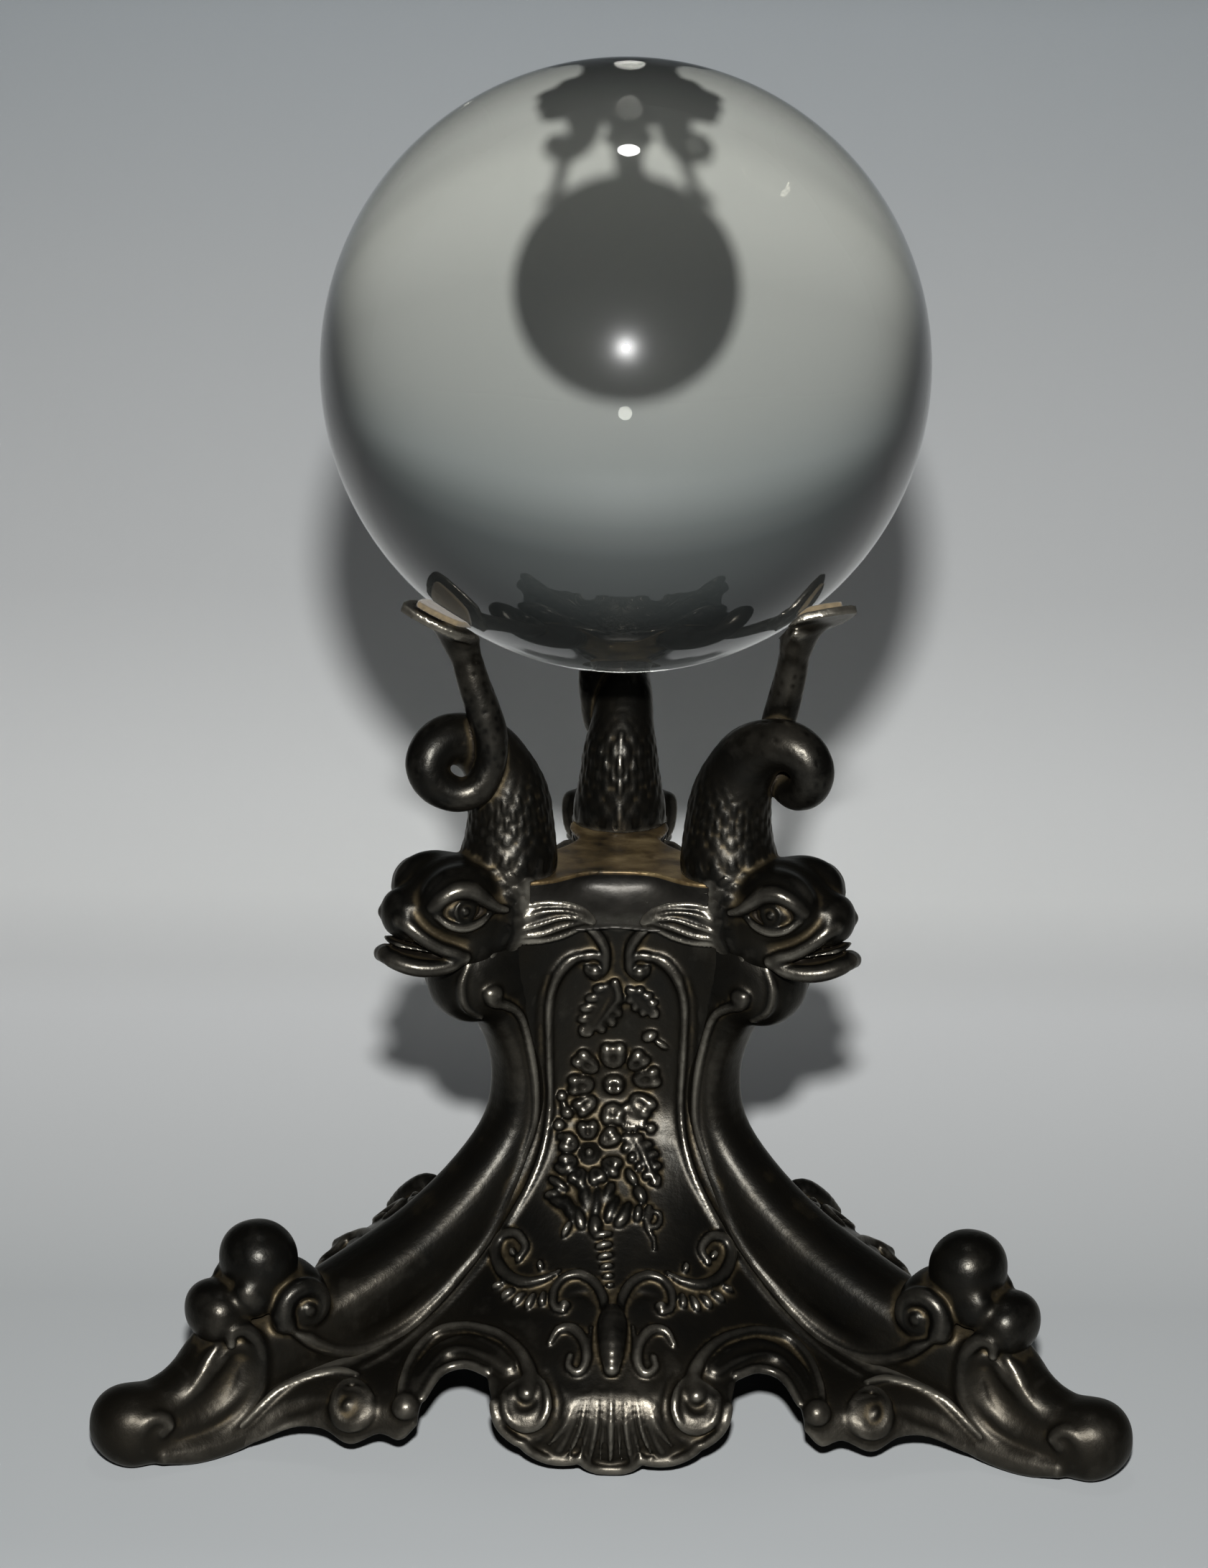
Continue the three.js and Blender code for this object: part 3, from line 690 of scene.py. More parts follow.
def dolphin_fins(clay):
    """Each cheek has a feathered fin that lies along the top of the panel beside it."""
    up = np.array((0.0, 0.0, 1.0))
    for side in SIDES:
        blade = in_panel_frame([(out - 0.5, across, height) for out, across, height, _ in FIN_LINE], side)
        clay.add(rope(blade, [(1.3, half) for _, _, _, half in FIN_LINE], side=up, power=2.4), 1.2)
        for i in range(FIN_STRANDS):
            level = 2 * i / (FIN_STRANDS - 1) - 1
            strand = []
            for out, across, height, half in FIN_LINE:
                raised = 0.55 - 0.75 * level**2 + 0.2 * math.cos(i * 3.1)
                wave = 0.3 * math.sin(i * 2.4 + across * 0.45)
                strand.append((out + raised, across, height + level * half + wave))
            sizes = (0.25, 0.4, 0.48, 0.5, 0.48, 0.4, 0.3)
            clay.add(rope(in_panel_frame(strand, side), sizes, steps=3), 0.15)


def fluke_plate(lift, thickness, shrink):
    """The tail fluke's plate, which narrows to its four corners, or a slice beside it."""
    place = np.array(FLUKE["place"]) + lift * FLUKE_UP
    half_long, half_wide = (h - shrink for h in FLUKE["half"])
    turn = np.array(Matrix.Rotation(FLUKE["lean"], 3, "X") @ Matrix.Rotation(FLUKE["slope"], 3, "Y"))

    def distance(x, y, z):
        d = [x - place[0], y - place[1], z - place[2]]
        u, v, w = (d[0] * turn[0, i] + d[1] * turn[1, i] + d[2] * turn[2, i] for i in range(3))
        ratio = (np.abs(u / half_long) ** 1.45 + np.abs(v / half_wide) ** 1.45) ** (1 / 1.45)
        rim = (ratio - 1) * min(half_long, half_wide) * 0.8
        return np.maximum(rim, np.abs(w) - thickness)

    reach = np.abs(turn) @ np.array((half_long, half_wide, thickness))
    return [(place - reach, place + reach, distance)]


def ball_shape(grow):
    """The glass ball, larger by a small gap."""
    radius = BALL_RADIUS + grow

    def distance(x, y, z):
        return np.sqrt(x**2 + y**2 + (z - BALL_CENTRE_Z) ** 2) - radius

    low = np.array((-radius, -radius, BALL_CENTRE_Z - radius))
    return [(low, low + 2 * radius, distance)]


def dolphin_fluke(clay):
    clay.add(fluke_plate(0.2, 0.75, 0), 0.4)
    neck = [(34.8, 2.8, 145), (36, 2.4, 147), (38, 1.8, 148.6)]
    clay.add(rope(neck, [(2.6, 3.2), (2.6, 4), (1.6, 5.4)], side=SIDEWAYS), 1.6)
    clay.cut(fluke_plate(2.6, 1.3, -0.8), 0.2)
    clay.cut(ball_shape(0.9), 0.2)


def dolphin_mesh():
    clay = Clay((8, -21, 82), (52, 21, 156), DOLPHIN_PITCH)
    dolphin_head(clay)
    dolphin_body(clay)
    dolphin_mouth(clay)
    dolphin_eye(clay)
    dolphin_fins(clay)
    dolphin_fluke(clay)
    screw_hole = rope([(SCREW_OUT, 0, 80), (SCREW_OUT, 0, 108)], 2.2, steps=1)
    clay.cut(screw_hole, 0.2)
    clay.keep(lambda x, y, z: -np.maximum(deck_local(x, y), z - DECK_TOP_Z), 0.05)
    return clay.mesh("dolphin")


def deck_local(x, y):
    """The deck's plan in a dolphin's frame. The plan has the same shape at each of the three lobes."""
    ahead_x, ahead_y = heading(LEG_AZIMUTHS["rear"])
    return deck_distance(x * ahead_x - y * ahead_y, x * ahead_y + y * ahead_x)


def felt_mesh():
    place = np.array(FLUKE["place"])
    clay = Clay(place - (11, 9, 5), place + (11, 9, 7), FELT_PITCH)
    clay.add(fluke_plate(1.7, 0.6, 2.5), 0.3)
    clay.cut(fluke_plate(0, 1.2, -0.5), 0.1)
    clay.cut(ball_shape(0.05), 0.1)
    return clay.mesh("felt", 1)


# ---------------------------------------------------------------- panel

PANEL_ROWS = [
    # height, out at the middle, out at the edge, half width: the panel's face
    (0, 53.3, 48, 72),
    (5.5, 55.6, 46, 70.5),
    (11, 56.2, 43.6, 64),
    (13.5, 55.6, 41, 57),
    (16, 54.3, 36, 46),
    (18, 52, 32, 39.2),
    (21.4, 48, 28.7, 33.8),
    (26.4, 41, 25.4, 28.7),
    (32.8, 32, 21.8, 23.3),
    (40.8, 24, 19.1, 19.6),
    (47.6, 19, 17.3, 17),
    (52, 16.4, 16.2, 15.6),
    (60, 14, 15.6, 15),
    (76, 15, 17.8, 17.4),
    (84, 15.6, 20, 19),
    (92, 16.2, 20.6, 19.8),
]
PANEL_SIDES = [
    # height, half width of the whole panel, whose sides end inside the legs' lips
    (0, 69),
    (4, 69.5),
    (7, 69),
    (11, 65),
    (13.5, 58),
    (16, 47),
    (18, 40.2),
    (21.4, 34.8),
    (26.4, 29.7),
    (32.8, 24.6),
    (40.8, 21.4),
    (47.6, 19),
    (52, 17.8),
    (60, 17.4),
    (76, 20.4),
    (84, 23),
    (92, 24.4),
]
PATTERN_ROWS = [
    # the plainer surface on which the relief is drawn, before it is thrown back onto the face
    (0, 53.3, 50.6, 77.6),
    (5.5, 55.6, 49.6, 75),
    (11, 56.2, 47.2, 69),
    (15.4, 54.6, 44, 62.5),
    (19.3, 50.6, 41, 55.5),
    (23, 45.6, 37.4, 48.5),
    (28.6, 38, 32, 39),
    (34, 30.4, 26.6, 30.6),
    (40, 24.6, 21.6, 23.4),
    (46, 20, 18, 18),
    (52, 16.4, 15.8, 15),
    (60, 14, 15, 14),
    (76, 15, 16.4, 15.4),
    (92, 16.2, 17.4, 17.6),
]
FACE_POWER = 2.4
PATTERN_POWER = 1.5
DRAWN_FROM = np.array((610.7, 0.0, 274.3))  # the relief is drawn as seen from this point
PANEL_WALL = 2.4
SHELL_RIBS = 9
ARCH_EDGE = [(22.4, 17.2), (26.5, 18.2), (31, 16.8), (34.3, 12.8)]
SCROLL_EDGE = [(34.6, 9.2), (37.7, 6.2), (41.5, 7.2), (46.8, 4.9),
               (51.7, 7.4), (57.2, 7.2), (64.4, 4), (72, 1)]
SHELL_LOBES = [
    # start, end and depth of each scallop of the shell's edge
    ((0, 0.8), (5.6, 3.4), 0.9),
    ((5.6, 3.4), (16.2, 6.2), 1.9),
    ((16.2, 6.2), (21.4, 14.2), 1.7),
]
UPPER_PETALS = [
    # angle, near and far radius, width
    (92, 3.2, 8.4, 5.2),
    (140, 4.0, 9.4, 3.8),
    (180, 3.6, 8.6, 4.4),
    (216, 4.2, 8.8, 3.8),
    (268, 3.4, 7.6, 4.2),
    (325, 3.8, 8.8, 4.4),
    (14, 3.6, 8.8, 4.4),
    (48, 4.2, 8.6, 3.6),
]
LOWER_PETALS = [
    (95, 2.0, 5.6, 4.0),
    (35, 2.4, 6.4, 3.4),
    (-25, 2.6, 6.4, 3.4),
    (-68, 2.2, 5.6, 3.4),
    (-116, 2.4, 6.2, 3.6),
    (160, 2.2, 5.6, 3.6),
    (205, 2.4, 5.8, 3.6),
]
BERRIES = [
    # across, height, radius
    (-10, 58.3, 1.15),
    (-8.9, 55.2, 1.35),
    (-10.4, 52.9, 1.2),
    (-9.6, 56.6, 0.8),
    (-9.9, 50.9, 0.9),
    (6.6, 52.6, 1.0),
]
SMALL_LEAVES = [
    # across, height, half length, half width, spin in degrees
    (-10.2, 43.2, 2.2, 0.9, 150),
    (-9.6, 40.4, 2.6, 1.1, 160),
    (-8.2, 39.6, 2.8, 1.1, 120),
    (-6.4, 38.4, 2.4, 1.1, 115),
    (-5.2, 41.4, 3.2, 1.2, 100),
    (-3.2, 40.6, 3.2, 1.2, 85),
    (-1.2, 42, 2.4, 1.0, 70),
    (-0.4, 39.8, 2.6, 1.2, 70),
    (1.8, 39, 2.6, 1.2, 60),
    (-8.4, 36.8, 1.8, 0.6, 70),
    (-3.4, 37.4, 2.2, 1.1, 95),
    (4.8, 41.9, 1.9, 1.0, 110),
    (4.4, 39.2, 1.6, 0.8, 80),
    (-11.2, 41.6, 1.6, 0.8, 200),
    (3.2, 44.6, 1.8, 0.8, 120),
    (-9.8, 45.4, 1.5, 0.8, 140),
]
RUFFLE = [
    # across, height, half length, half width and spin of the leaflets under each upper scroll
    (12.6, 27.6, 1.7, 0.8, 80),
    (14.8, 27.2, 1.8, 0.8, 95),
    (16.9, 27.4, 1.7, 0.8, 105),
    (19, 27.9, 1.6, 0.8, 120),
    (20.8, 28.8, 1.3, 0.7, 135),
    (13.2, 31.6, 1.2, 0.6, 60),
]
FACE_LINE = through(PANEL_ROWS, 6)
PATTERN_LINE = through(PATTERN_ROWS, 6)
SIDE_LINE = through(PANEL_SIDES, 4)


def surface_out(rows, power, across, height):
    """How far out a bowed surface is, given by rows of height, middle, edge and half width."""
    middle, edge, half = (np.interp(height, rows[:, 0], rows[:, i]) for i in (1, 2, 3))
    return middle + (edge - middle) * np.minimum(np.abs(across) / half, 1.25) ** power


def panel_out(across, height):
    return surface_out(FACE_LINE, FACE_POWER, across, height)


def panel_slopes(across, height):
    """How fast the face comes out with height and with the place across it."""
    slope = panel_out(across, height + 0.5) - panel_out(across, height - 0.5)
    lean = panel_out(across + 0.5, height) - panel_out(across - 0.5, height)
    return slope, lean


def thrown(across, height):
    """Where a point of the drawn pattern falls on the face, as (across, height)."""
    start = np.array((float(surface_out(PATTERN_LINE, PATTERN_POWER, across, height)), across, height))
    line = start - DRAWN_FROM
    near, far = 0.985, 1.05
    for _ in range(24):
        middle = (near + far) / 2
        x, y, z = DRAWN_FROM + middle * line
        if x > panel_out(y, z):
            near = middle
        else:
            far = middle
    return y, z


def face_normal(across, height):
    slope, lean = panel_slopes(across, height)
    normal = np.array((1.0, -lean, -slope))
    return normal / np.linalg.norm(normal)


def on_panel(points, lift=0.0):
    """Points of the pattern, given as (across, height), on the face and lifted off it along its normal."""
    placed = []
    for across, height in points:
        y, z = thrown(across, height)
        placed.append(np.array((panel_out(y, z), y, z)) + lift * face_normal(y, z))
    return placed


def panel_turn(across, height, spin=0.0):
    """Axes of a relief egg: out of the face, then along and across a direction spun from level."""
    normal = face_normal(*thrown(across, height))
    level = np.cross((0, 0, 1.0), normal)
    level /= np.linalg.norm(level)
    up = np.cross(normal, level)
    angle = math.radians(spin)
    first = level * math.cos(angle) + up * math.sin(angle)
    second = np.cross(normal, first)
    return np.stack((normal, first, second), 1)


def blob(clay, across, height, half_long, half_wide, rise, spin=0.0, blend=0.3, lift=0.0):
    """A round piece of relief that stands this far out of the face."""
    place = on_panel([(across, height)], lift)[0]
    clay.add(box_egg(place, (rise, half_long, half_wide), panel_turn(across, height, spin)), blend)


def face_rope(points, sizes, lift, steps):
    """A rope on the face along points (across, height). The sizes are spread evenly over its length."""
    dense = through(points, steps)
    sizes = np.interp(np.linspace(0, 1, len(dense)), np.linspace(0, 1, len(sizes)), sizes)
    return rope(on_panel(dense, lift), sizes, steps=1)


def vein(clay, points, sizes, lift=0.0, blend=0.35, steps=4):
    clay.add(face_rope(points, sizes, lift, steps), blend)


def groove(clay, points, sizes, lift=0.0, blend=0.5, steps=4):
    clay.cut(face_rope(points, sizes, lift, steps), blend)


def mirrored(points, side):
    return [(side * across, height) for across, height in points]


def panel_outline():
    """The panel's lower edge and sides in (across, height), for one half, then mirrored."""
    half = [(0, 0.8)]
    for start, end, depth in SHELL_LOBES:
        along = np.subtract(end, start)
        downwards = np.array((along[1], -along[0])) / np.hypot(*along)
        fullness = 1 if start[0] == 0 else 0.8
        for i in range(1, 9):
            bow = depth * math.sin(math.pi * i / 8) ** fullness
            half.append(tuple(start + along * i / 8 + bow * downwards))
    half += [tuple(p) for p in through(ARCH_EDGE, 5)]
    half += [tuple(p) for p in through(SCROLL_EDGE, 5)]
    half += [(80, 1), (80, 93)]
    fallen = [thrown(u, v) if u < 74 else (u, v) for u, v in half]
    left = [(-u, v) for u, v in fallen[::-1]]
    return np.array(left[:-1] + fallen)


def outline_distance(polygon, across, height):
    """Signed distance in the plane to a polygon, below 0 inside."""
    best = np.full(across.shape, 1e9)
    inside = np.zeros(across.shape, bool)
    for a, b in zip(polygon, np.roll(polygon, -1, axis=0)):
        edge = b - a
        du, dv = across - a[0], height - a[1]
        t = np.clip((du * edge[0] + dv * edge[1]) / max(edge @ edge, 1e-9), 0, 1)
        best = np.minimum(best, (du - t * edge[0]) ** 2 + (dv - t * edge[1]) ** 2)
        if a[1] != b[1]:
            level_with = (a[1] > height) != (b[1] > height)
            inside ^= level_with & (across < a[0] + dv / edge[1] * edge[0])
    return np.where(inside, -np.sqrt(best), np.sqrt(best))


def panel_blank(clay, outline):
    """The bare curved plate, with its lower edge cut to the outline."""
    part, (x, y, z) = clay.whole()
    across, height = np.broadcast_arrays(y[0], z[0])
    face = panel_out(across, height)
    slope, lean = panel_slopes(across, height)
    stretch = np.sqrt(1 + slope**2 + lean**2)
    skin = (x - face[None]) / stretch[None]
    edge = outline_distance(outline, across, height)[None]
    plate = np.maximum(skin, -skin - PANEL_WALL)
    soft = np.maximum(1.2 - np.abs(plate - edge), 0)
    plate = np.maximum(plate, edge) + soft * soft / 4.8
    beside = np.abs(y) - np.interp(z, *SIDE_LINE.T)
    clay.field[part] = np.maximum(np.maximum(plate, beside), z - NECK_Z).astype(np.float32)


def panel_border(clay):
    """The bead inside the leg's lip, the hollow band beside it, and the volutes at the top."""
    for side in SIDES:
        path = [(5.2, 86.2), (8.6, 85.2), (11.4, 81.6), (12.6, 76), (12.5, 66), (12.2, 57), (12.9, 50.5),
                (14.6, 45), (17.8, 39.4), (22.8, 32.8), (30.4, 25.7), (38, 20.4), (45, 17)]
        sizes = [0.9, 1.25, 1.2, 0.8, 0.75, 0.75, 0.75, 0.75, 0.8, 0.85, 0.8, 0.7, 0.3]
        vein(clay, mirrored(path, side), sizes, -0.1, 0.8)
        beside = [(across + 1.5, height + 0.4) for across, height in path[2:]]
        groove(clay, mirrored(beside, side), [0.4, 0.7, 0.8, 0.8, 0.8, 0.8, 0.8, 0.5], 0.4, 0.8)
        curl = spiral((4.3, 84.0), 2.5, 1.1, 60, 300, 12)
        vein(clay, mirrored(curl, side), [1.0, 0.8], 0.2, 0.4, 1)
        blob(clay, side * 4.1, 83.3, 1.5, 1.5, 1.7)
        tendril = [(5.4, 92), (3.2, 89.4), (2.2, 86.6), (2.6, 83.6), (4, 82)]
        vein(clay, mirrored(tendril, side), [0.9, 1.1, 1.0, 0.9, 0.8], 0.2, 0.5)


def petal(clay, centre, angle, near, far, wide):
    """A cupped petal that runs out from a flower's centre, between two radii, at an angle in degrees."""
    ahead = heading(angle)
    place = centre + ahead * (near + far) / 2
    blob(clay, *place, (far - near) / 2, wide / 2, 1.5, angle, 0.35, 0.2)
    cup = on_panel([place - ahead * 0.5], 2.5)[0]
    clay.cut(box_egg(cup, (1.3, (far - near) * 0.34, wide * 0.2), panel_turn(*place, angle)), 0.7)
    for side in SIDES:
        beside = np.array((-ahead[1], ahead[0])) * side * wide * 0.24
        lobe = centre + ahead * (far - 1.2) + beside
        blob(clay, *lobe, 1.3, 1.1, 1.5, angle, 0.5, 0.2)


def upper_flower(clay):
    centre = (-0.3, 60.5)
    for angle, near, far, wide in UPPER_PETALS:
        petal(clay, centre, angle, near, far, wide)
    blob(clay, *centre, 2.2, 2.2, 1.3)
    for i in range(4):
        angle = 45 + 90 * i
        blob(clay, *(centre + 1.1 * heading(angle)), 1.2, 0.8, 1.7, angle + 90, 0.15)


def lower_flower(clay):
    centre = (-4.7, 48.3)
    for angle, near, far, wide in LOWER_PETALS:
        petal(clay, centre, angle, near, far, wide)
    blob(clay, *centre, 2.2, 2.2, 0.7)
    blob(clay, *centre, 1.0, 1.0, 1.6, 0, 0.2)


def serrated_leaf(clay, base, tip, width, teeth, bend=0.0):
    """A leaf with a midrib and toothed sides."""
    base, tip = np.array(base, float), np.array(tip, float)
    along = tip - base
    length = np.linalg.norm(along)
    along /= length
    beside = np.array((-along[1], along[0]))
    spin = math.degrees(math.atan2(along[1], along[0]))

    def middle(t):
        return base + along * length * t + beside * bend * math.sin(math.pi * t)

    def spread(t):
        return width * math.sin(math.pi * min(t * 0.85 + 0.15, 1)) ** 0.7

    steps = np.linspace(0, 1, 9)
    sizes = [(1.1, max(0.72 * spread(t), 0.4)) for t in steps]
    blade = rope(on_panel([middle(t) for t in steps]), sizes, side=np.array((0, *beside)), steps=1)
    clay.add(blade, 0.5)
    for side in SIDES:
        for i in range(teeth):
            t = (i + 0.7) / teeth
            place = middle(t) + beside * side * spread(t) * 0.66
            long, wide = spread(t) * 0.42 + 0.3, length / teeth * 0.52
            blob(clay, *place, long, wide, 1.05, spin + side * 52, 0.35, 0.1)
    groove(clay, [middle(t) for t in (0, 0.35, 0.7, 1)], [0.4, 0.6, 0.6, 0.3], 1.5, 0.5)


def bouquet(clay):
    """The leaves, berries and bound stem round the two flowers."""
    serrated_leaf(clay, (-0.8, 80.2), (-6.2, 70.6), 3.6, 5, 0.6)
    vein(clay, [(-0.4, 81), (0.2, 78.2), (-1.4, 75.4), (-3.2, 73)], [0.8, 0.9, 0.8, 0.5], 0.5, 0.3)
    serrated_leaf(clay, (2.4, 79.4), (7.4, 74.6), 2.2, 4)
    vein(clay, [(1.6, 79), (3.6, 77.6), (6, 76.6)], [0.3, 0.45, 0.3], 0.3, 0.3)
    blob(clay, 6.2, 70.5, 1.6, 1.2, 1.7, 30)
    blob(clay, 8.2, 69, 1.9, 0.7, 0.9, -35)
    for across, height, size in BERRIES:
        blob(clay, across, height, size, size, size * 1.1, 0, 0.15)
    serrated_leaf(clay, (0.8, 55.6), (5.4, 53.2), 2.6, 5)
    blob(clay, 0.9, 55.2, 1.3, 1.1, 1.6, 20)
    serrated_leaf(clay, (2.2, 51), (8, 43.4), 2.4, 5, 0.6)
    vein(clay, [(3.4, 51.4), (5.2, 48.2), (7.2, 44.2)], [0.3, 0.6, 0.4], 0.8, 0.3)
    for across, height, long, wide, spin in SMALL_LEAVES:
        blob(clay, across, height, long * 1.1, wide * 1.25, 1.4, spin, 0.45, 0.1)
    curl = spiral((7.4, 38.5), 1.8, 0.6, 120, 430, 14)
    vein(clay, [(7.6, 34), (7.4, 35.4), (6.2, 37)] + curl, [0.3, 0.6, 0.6, 0.55, 0.5, 0.4], 0.3, 0.2, 1)
    for i, height in enumerate((36, 34.6, 33.2, 31.9, 30.7, 29.6)):
        blob(clay, -2.0 + 0.28 * i, height, 1.9 - 0.2 * i, 0.9 - 0.06 * i, 1.5 - 0.1 * i, 15, 0.15)


def scrolls(clay):
    """The pair of leafy scrolls that spring from the drop, with the smaller pair below them."""
    for side in SIDES:
        lower = [(1.2, 25.6), (1.7, 28), (3.4, 29.9), (6.2, 30.8),
                 (9, 30.2), (10.7, 28.5), (10.4, 26.7), (8.9, 26.3)]
        vein(clay, mirrored(lower, side), [0.7, 0.95, 1.0, 1.0, 0.9, 0.85, 0.8, 0.8], 0.3, 0.3)
        blob(clay, side * 8.7, 26.9, 1.2, 1.1, 1.5)
        groove(clay, mirrored([(3.2, 27.4), (5, 28.6), (7.6, 28.3)], side), [0.4, 0.8, 0.4], 0.5, 0.6)
        upper = [(9.8, 31), (12.8, 29.9), (16.4, 29.4), (19.6, 30.3), (21.4, 32.6),
                 (20.4, 35), (17.8, 35.6), (16, 33.9), (17.2, 32.2)]
        vein(clay, mirrored(upper, side), [0.5, 0.9, 1.2, 1.3, 1.2, 1.1, 1.0, 0.8, 0.8], 0.3, 0.3)
        blob(clay, side * 18.2, 33, 1.2, 0.8, 1.5, side * 30)
        for across, height, long, wide, spin in RUFFLE:
            leaning = spin if side > 0 else 180 - spin
            blob(clay, side * across, height, long, wide * 1.1, 1.1, leaning, 0.5, 0.1)
        ring = [(11.2, 22.2), (9.6, 23.9), (7, 24.1), (4.9, 22.5),
                (4.6, 20.3), (6, 18.9), (7.7, 19.6), (7.4, 20.9)]
        vein(clay, mirrored(ring, side), [0.4, 0.9, 1.1, 1.0, 0.9, 0.8, 0.7, 0.6], 0.2, 0.4)
        vein(clay, mirrored([(3.7, 24.6), (4, 22.6), (3.8, 20.6)], side), [0.3, 0.5, 0.3], 0.3, 0.3)
    drop = on_panel([(0, 26), (0, 24.6), (0, 22), (0, 19.4)], 0.7)
    clay.add(rope(drop, [1.9, 2.8, 2.5, 1.5], steps=3), 0.3)


def shell(clay):
    """The fluted shell at the bottom: shallow flutes between fine ribs that spread from its top."""
    flutes = [
        ((1.4, 17), (1.9, 3.2)),
        ((4.4, 17), (6.4, 4.6)),
        ((8.4, 15), (12.4, 5.4)),
        ((13.2, 9.9), (17.8, 9.2)),
    ]
    for side in SIDES:
        for top, bottom in flutes:
            middle = ((top[0] + bottom[0]) / 2 * 0.94, (top[1] + bottom[1]) / 2)
            groove(clay, mirrored([top, middle, bottom], side), [0.5, 1.5, 2.2], 1.35, 1.6)
        for i in range(SHELL_RIBS):
            t = i / (SHELL_RIBS - 1)
            top, bottom = (0.1 + 8.6 * t, 16.6 - 2.4 * t**3), (0.1 + 14.6 * t, 3.4 + 6.2 * t**2)
            middle = ((top[0] + bottom[0]) / 2 * 0.92, (top[1] + bottom[1]) / 2)
            ridge = 0.42 if i % 2 == 0 else 0.24
            vein(clay, mirrored([top, middle, bottom], side), [0.2, ridge, ridge, 0.2], -0.2, 0.5)


def shell_edge(clay, outline):
    """The turned-out rim along the shell's scallops."""
    rim = [p for p in outline if abs(p[0]) <= 21.5 and p[1] < 14]
    rim = [(u * 0.975, v + 0.9) for u, v in rim]
    vein(clay, rim, [0.9], 0.0, 0.8, 1)


def arch_band(clay):
    """A hollow band over each arch, with a bead along its top and a ball at the leg."""
    for side in SIDES:
        band = [(18.6, 19.2), (22, 20.6), (26.5, 21.2), (30.8, 20), (34.2, 17), (36, 13.4)]
        vein(clay, mirrored(band, side), [2.2, 2.5, 2.6, 2.5, 2.2, 1.6], -0.8, 0.9)
        raised = [(across, height + 0.2) for across, height in band]
        groove(clay, mirrored(raised, side), [1.2, 1.6, 1.7, 1.6, 1.4, 0.8], 2.4, 1.2)
        bead = [(15, 16), (14.5, 18.3), (16.3, 20.8), (19.6, 22.6), (23.2, 23.3),
                (27, 23.4), (31.4, 22.5), (35.2, 19.8), (37.2, 16.2), (37.6, 13)]
        vein(clay, mirrored(bead, side), [1.5, 1.4, 1.2, 1.0, 0.95, 0.95, 0.95, 0.95, 0.9, 0.9], 0.3, 0.6)
        lower = [(22.3, 18.3), (26.4, 19), (30.8, 17.7), (33.8, 14)]
        vein(clay, mirrored(lower, side), [0.7, 0.8, 0.8, 0.7], 0.0, 0.7)
        blob(clay, side * 36.8, 12.4, 2.5, 2.5, 2.2, 0, 0.6, 0.2)


def shell_volutes(clay):
    """The bowl with a thin rim at each upper corner of the shell, into which the arch's bead drops."""
    for side in SIDES:
        centre = (15.2, 14.4)
        blob(clay, side * centre[0], centre[1], 4.6, 4.6, 1.2, 0, 1.4)
        bowl = [(centre[0] - 0.1, centre[1]), (centre[0] + 0.1, centre[1])]
        groove(clay, mirrored(bowl, side), [2.8, 2.8], 3.0, 0.9)
        rim = spiral(centre, 4.1, 3.7, 120, 250, 16)
        vein(clay, mirrored(rim, side), [0.5, 0.95, 1.0, 1.0, 0.9, 0.6], 0.6, 0.5, 1)
        blob(clay, side * (centre[0] - 0.1), centre[1] + 1.2, 1.5, 1.8, 1.9, 90, 0.6, 0.1)
        moat = spiral(centre, 5.7, 5.7, 130, 150, 9)
        groove(clay, mirrored(moat, side), [0.4, 0.8, 0.9, 0.8, 0.4], 0.4, 0.8, 1)


def leaf_scrolls(clay):
    """The curled leaf beside each leg, whose band runs out along the leg's lower edge."""
    for side in SIDES:
        centre = (46.4, 11.4)
        blob(clay, side * centre[0], centre[1], 4.2, 4.2, 1.3, 0, 1.2)
        turns = spiral(centre, 3.8, 2.0, 150, -300, 20)
        vein(clay, mirrored(turns, side), [0.6, 1.1, 1.3, 1.3, 1.1, 0.8], 0.4, 0.7, 1)
        blob(clay, side * (centre[0] + 0.6), centre[1] + 0.4, 1.7, 1.2, 1.6, 60, 0.8, 0.2)
        lip = [(46, 16), (49.6, 16.4), (54.6, 15.4), (60.1, 12.8), (65, 8.6), (70, 4)]
        vein(clay, mirrored(lip, side), [0.8, 1.0, 1.0, 0.9, 0.7, 0.4], 0.2, 0.7)
        hollow = [(51.4, 12.2), (54.6, 11.2), (59, 9.4), (63, 6.4)]
        groove(clay, mirrored(hollow, side), [0.8, 1.4, 1.4, 0.8], 1.2, 1.2)


def panel_mesh():
    """A relief panel, made once for the three of them."""
    clay = Clay((8, -74, -0.9), (63, 74, 94), PANEL_PITCH)
    outline = panel_outline()
    panel_blank(clay, outline)
    panel_border(clay)
    arch_band(clay)
    shell(clay)
    shell_edge(clay, outline)
    shell_volutes(clay)
    leaf_scrolls(clay)
    scrolls(clay)
    bouquet(clay)
    upper_flower(clay)
    lower_flower(clay)
    clay.keep(lambda x, y, z: np.abs(y) - np.interp(z, *SIDE_LINE.T) - 0.6 + 0 * x, 2.4)
    clay.keep(lambda x, y, z: np.maximum(-z, z - NECK_Z) + 0 * x + 0 * y)
    return clay.mesh("panel")


# ---------------------------------------------------------------- materials


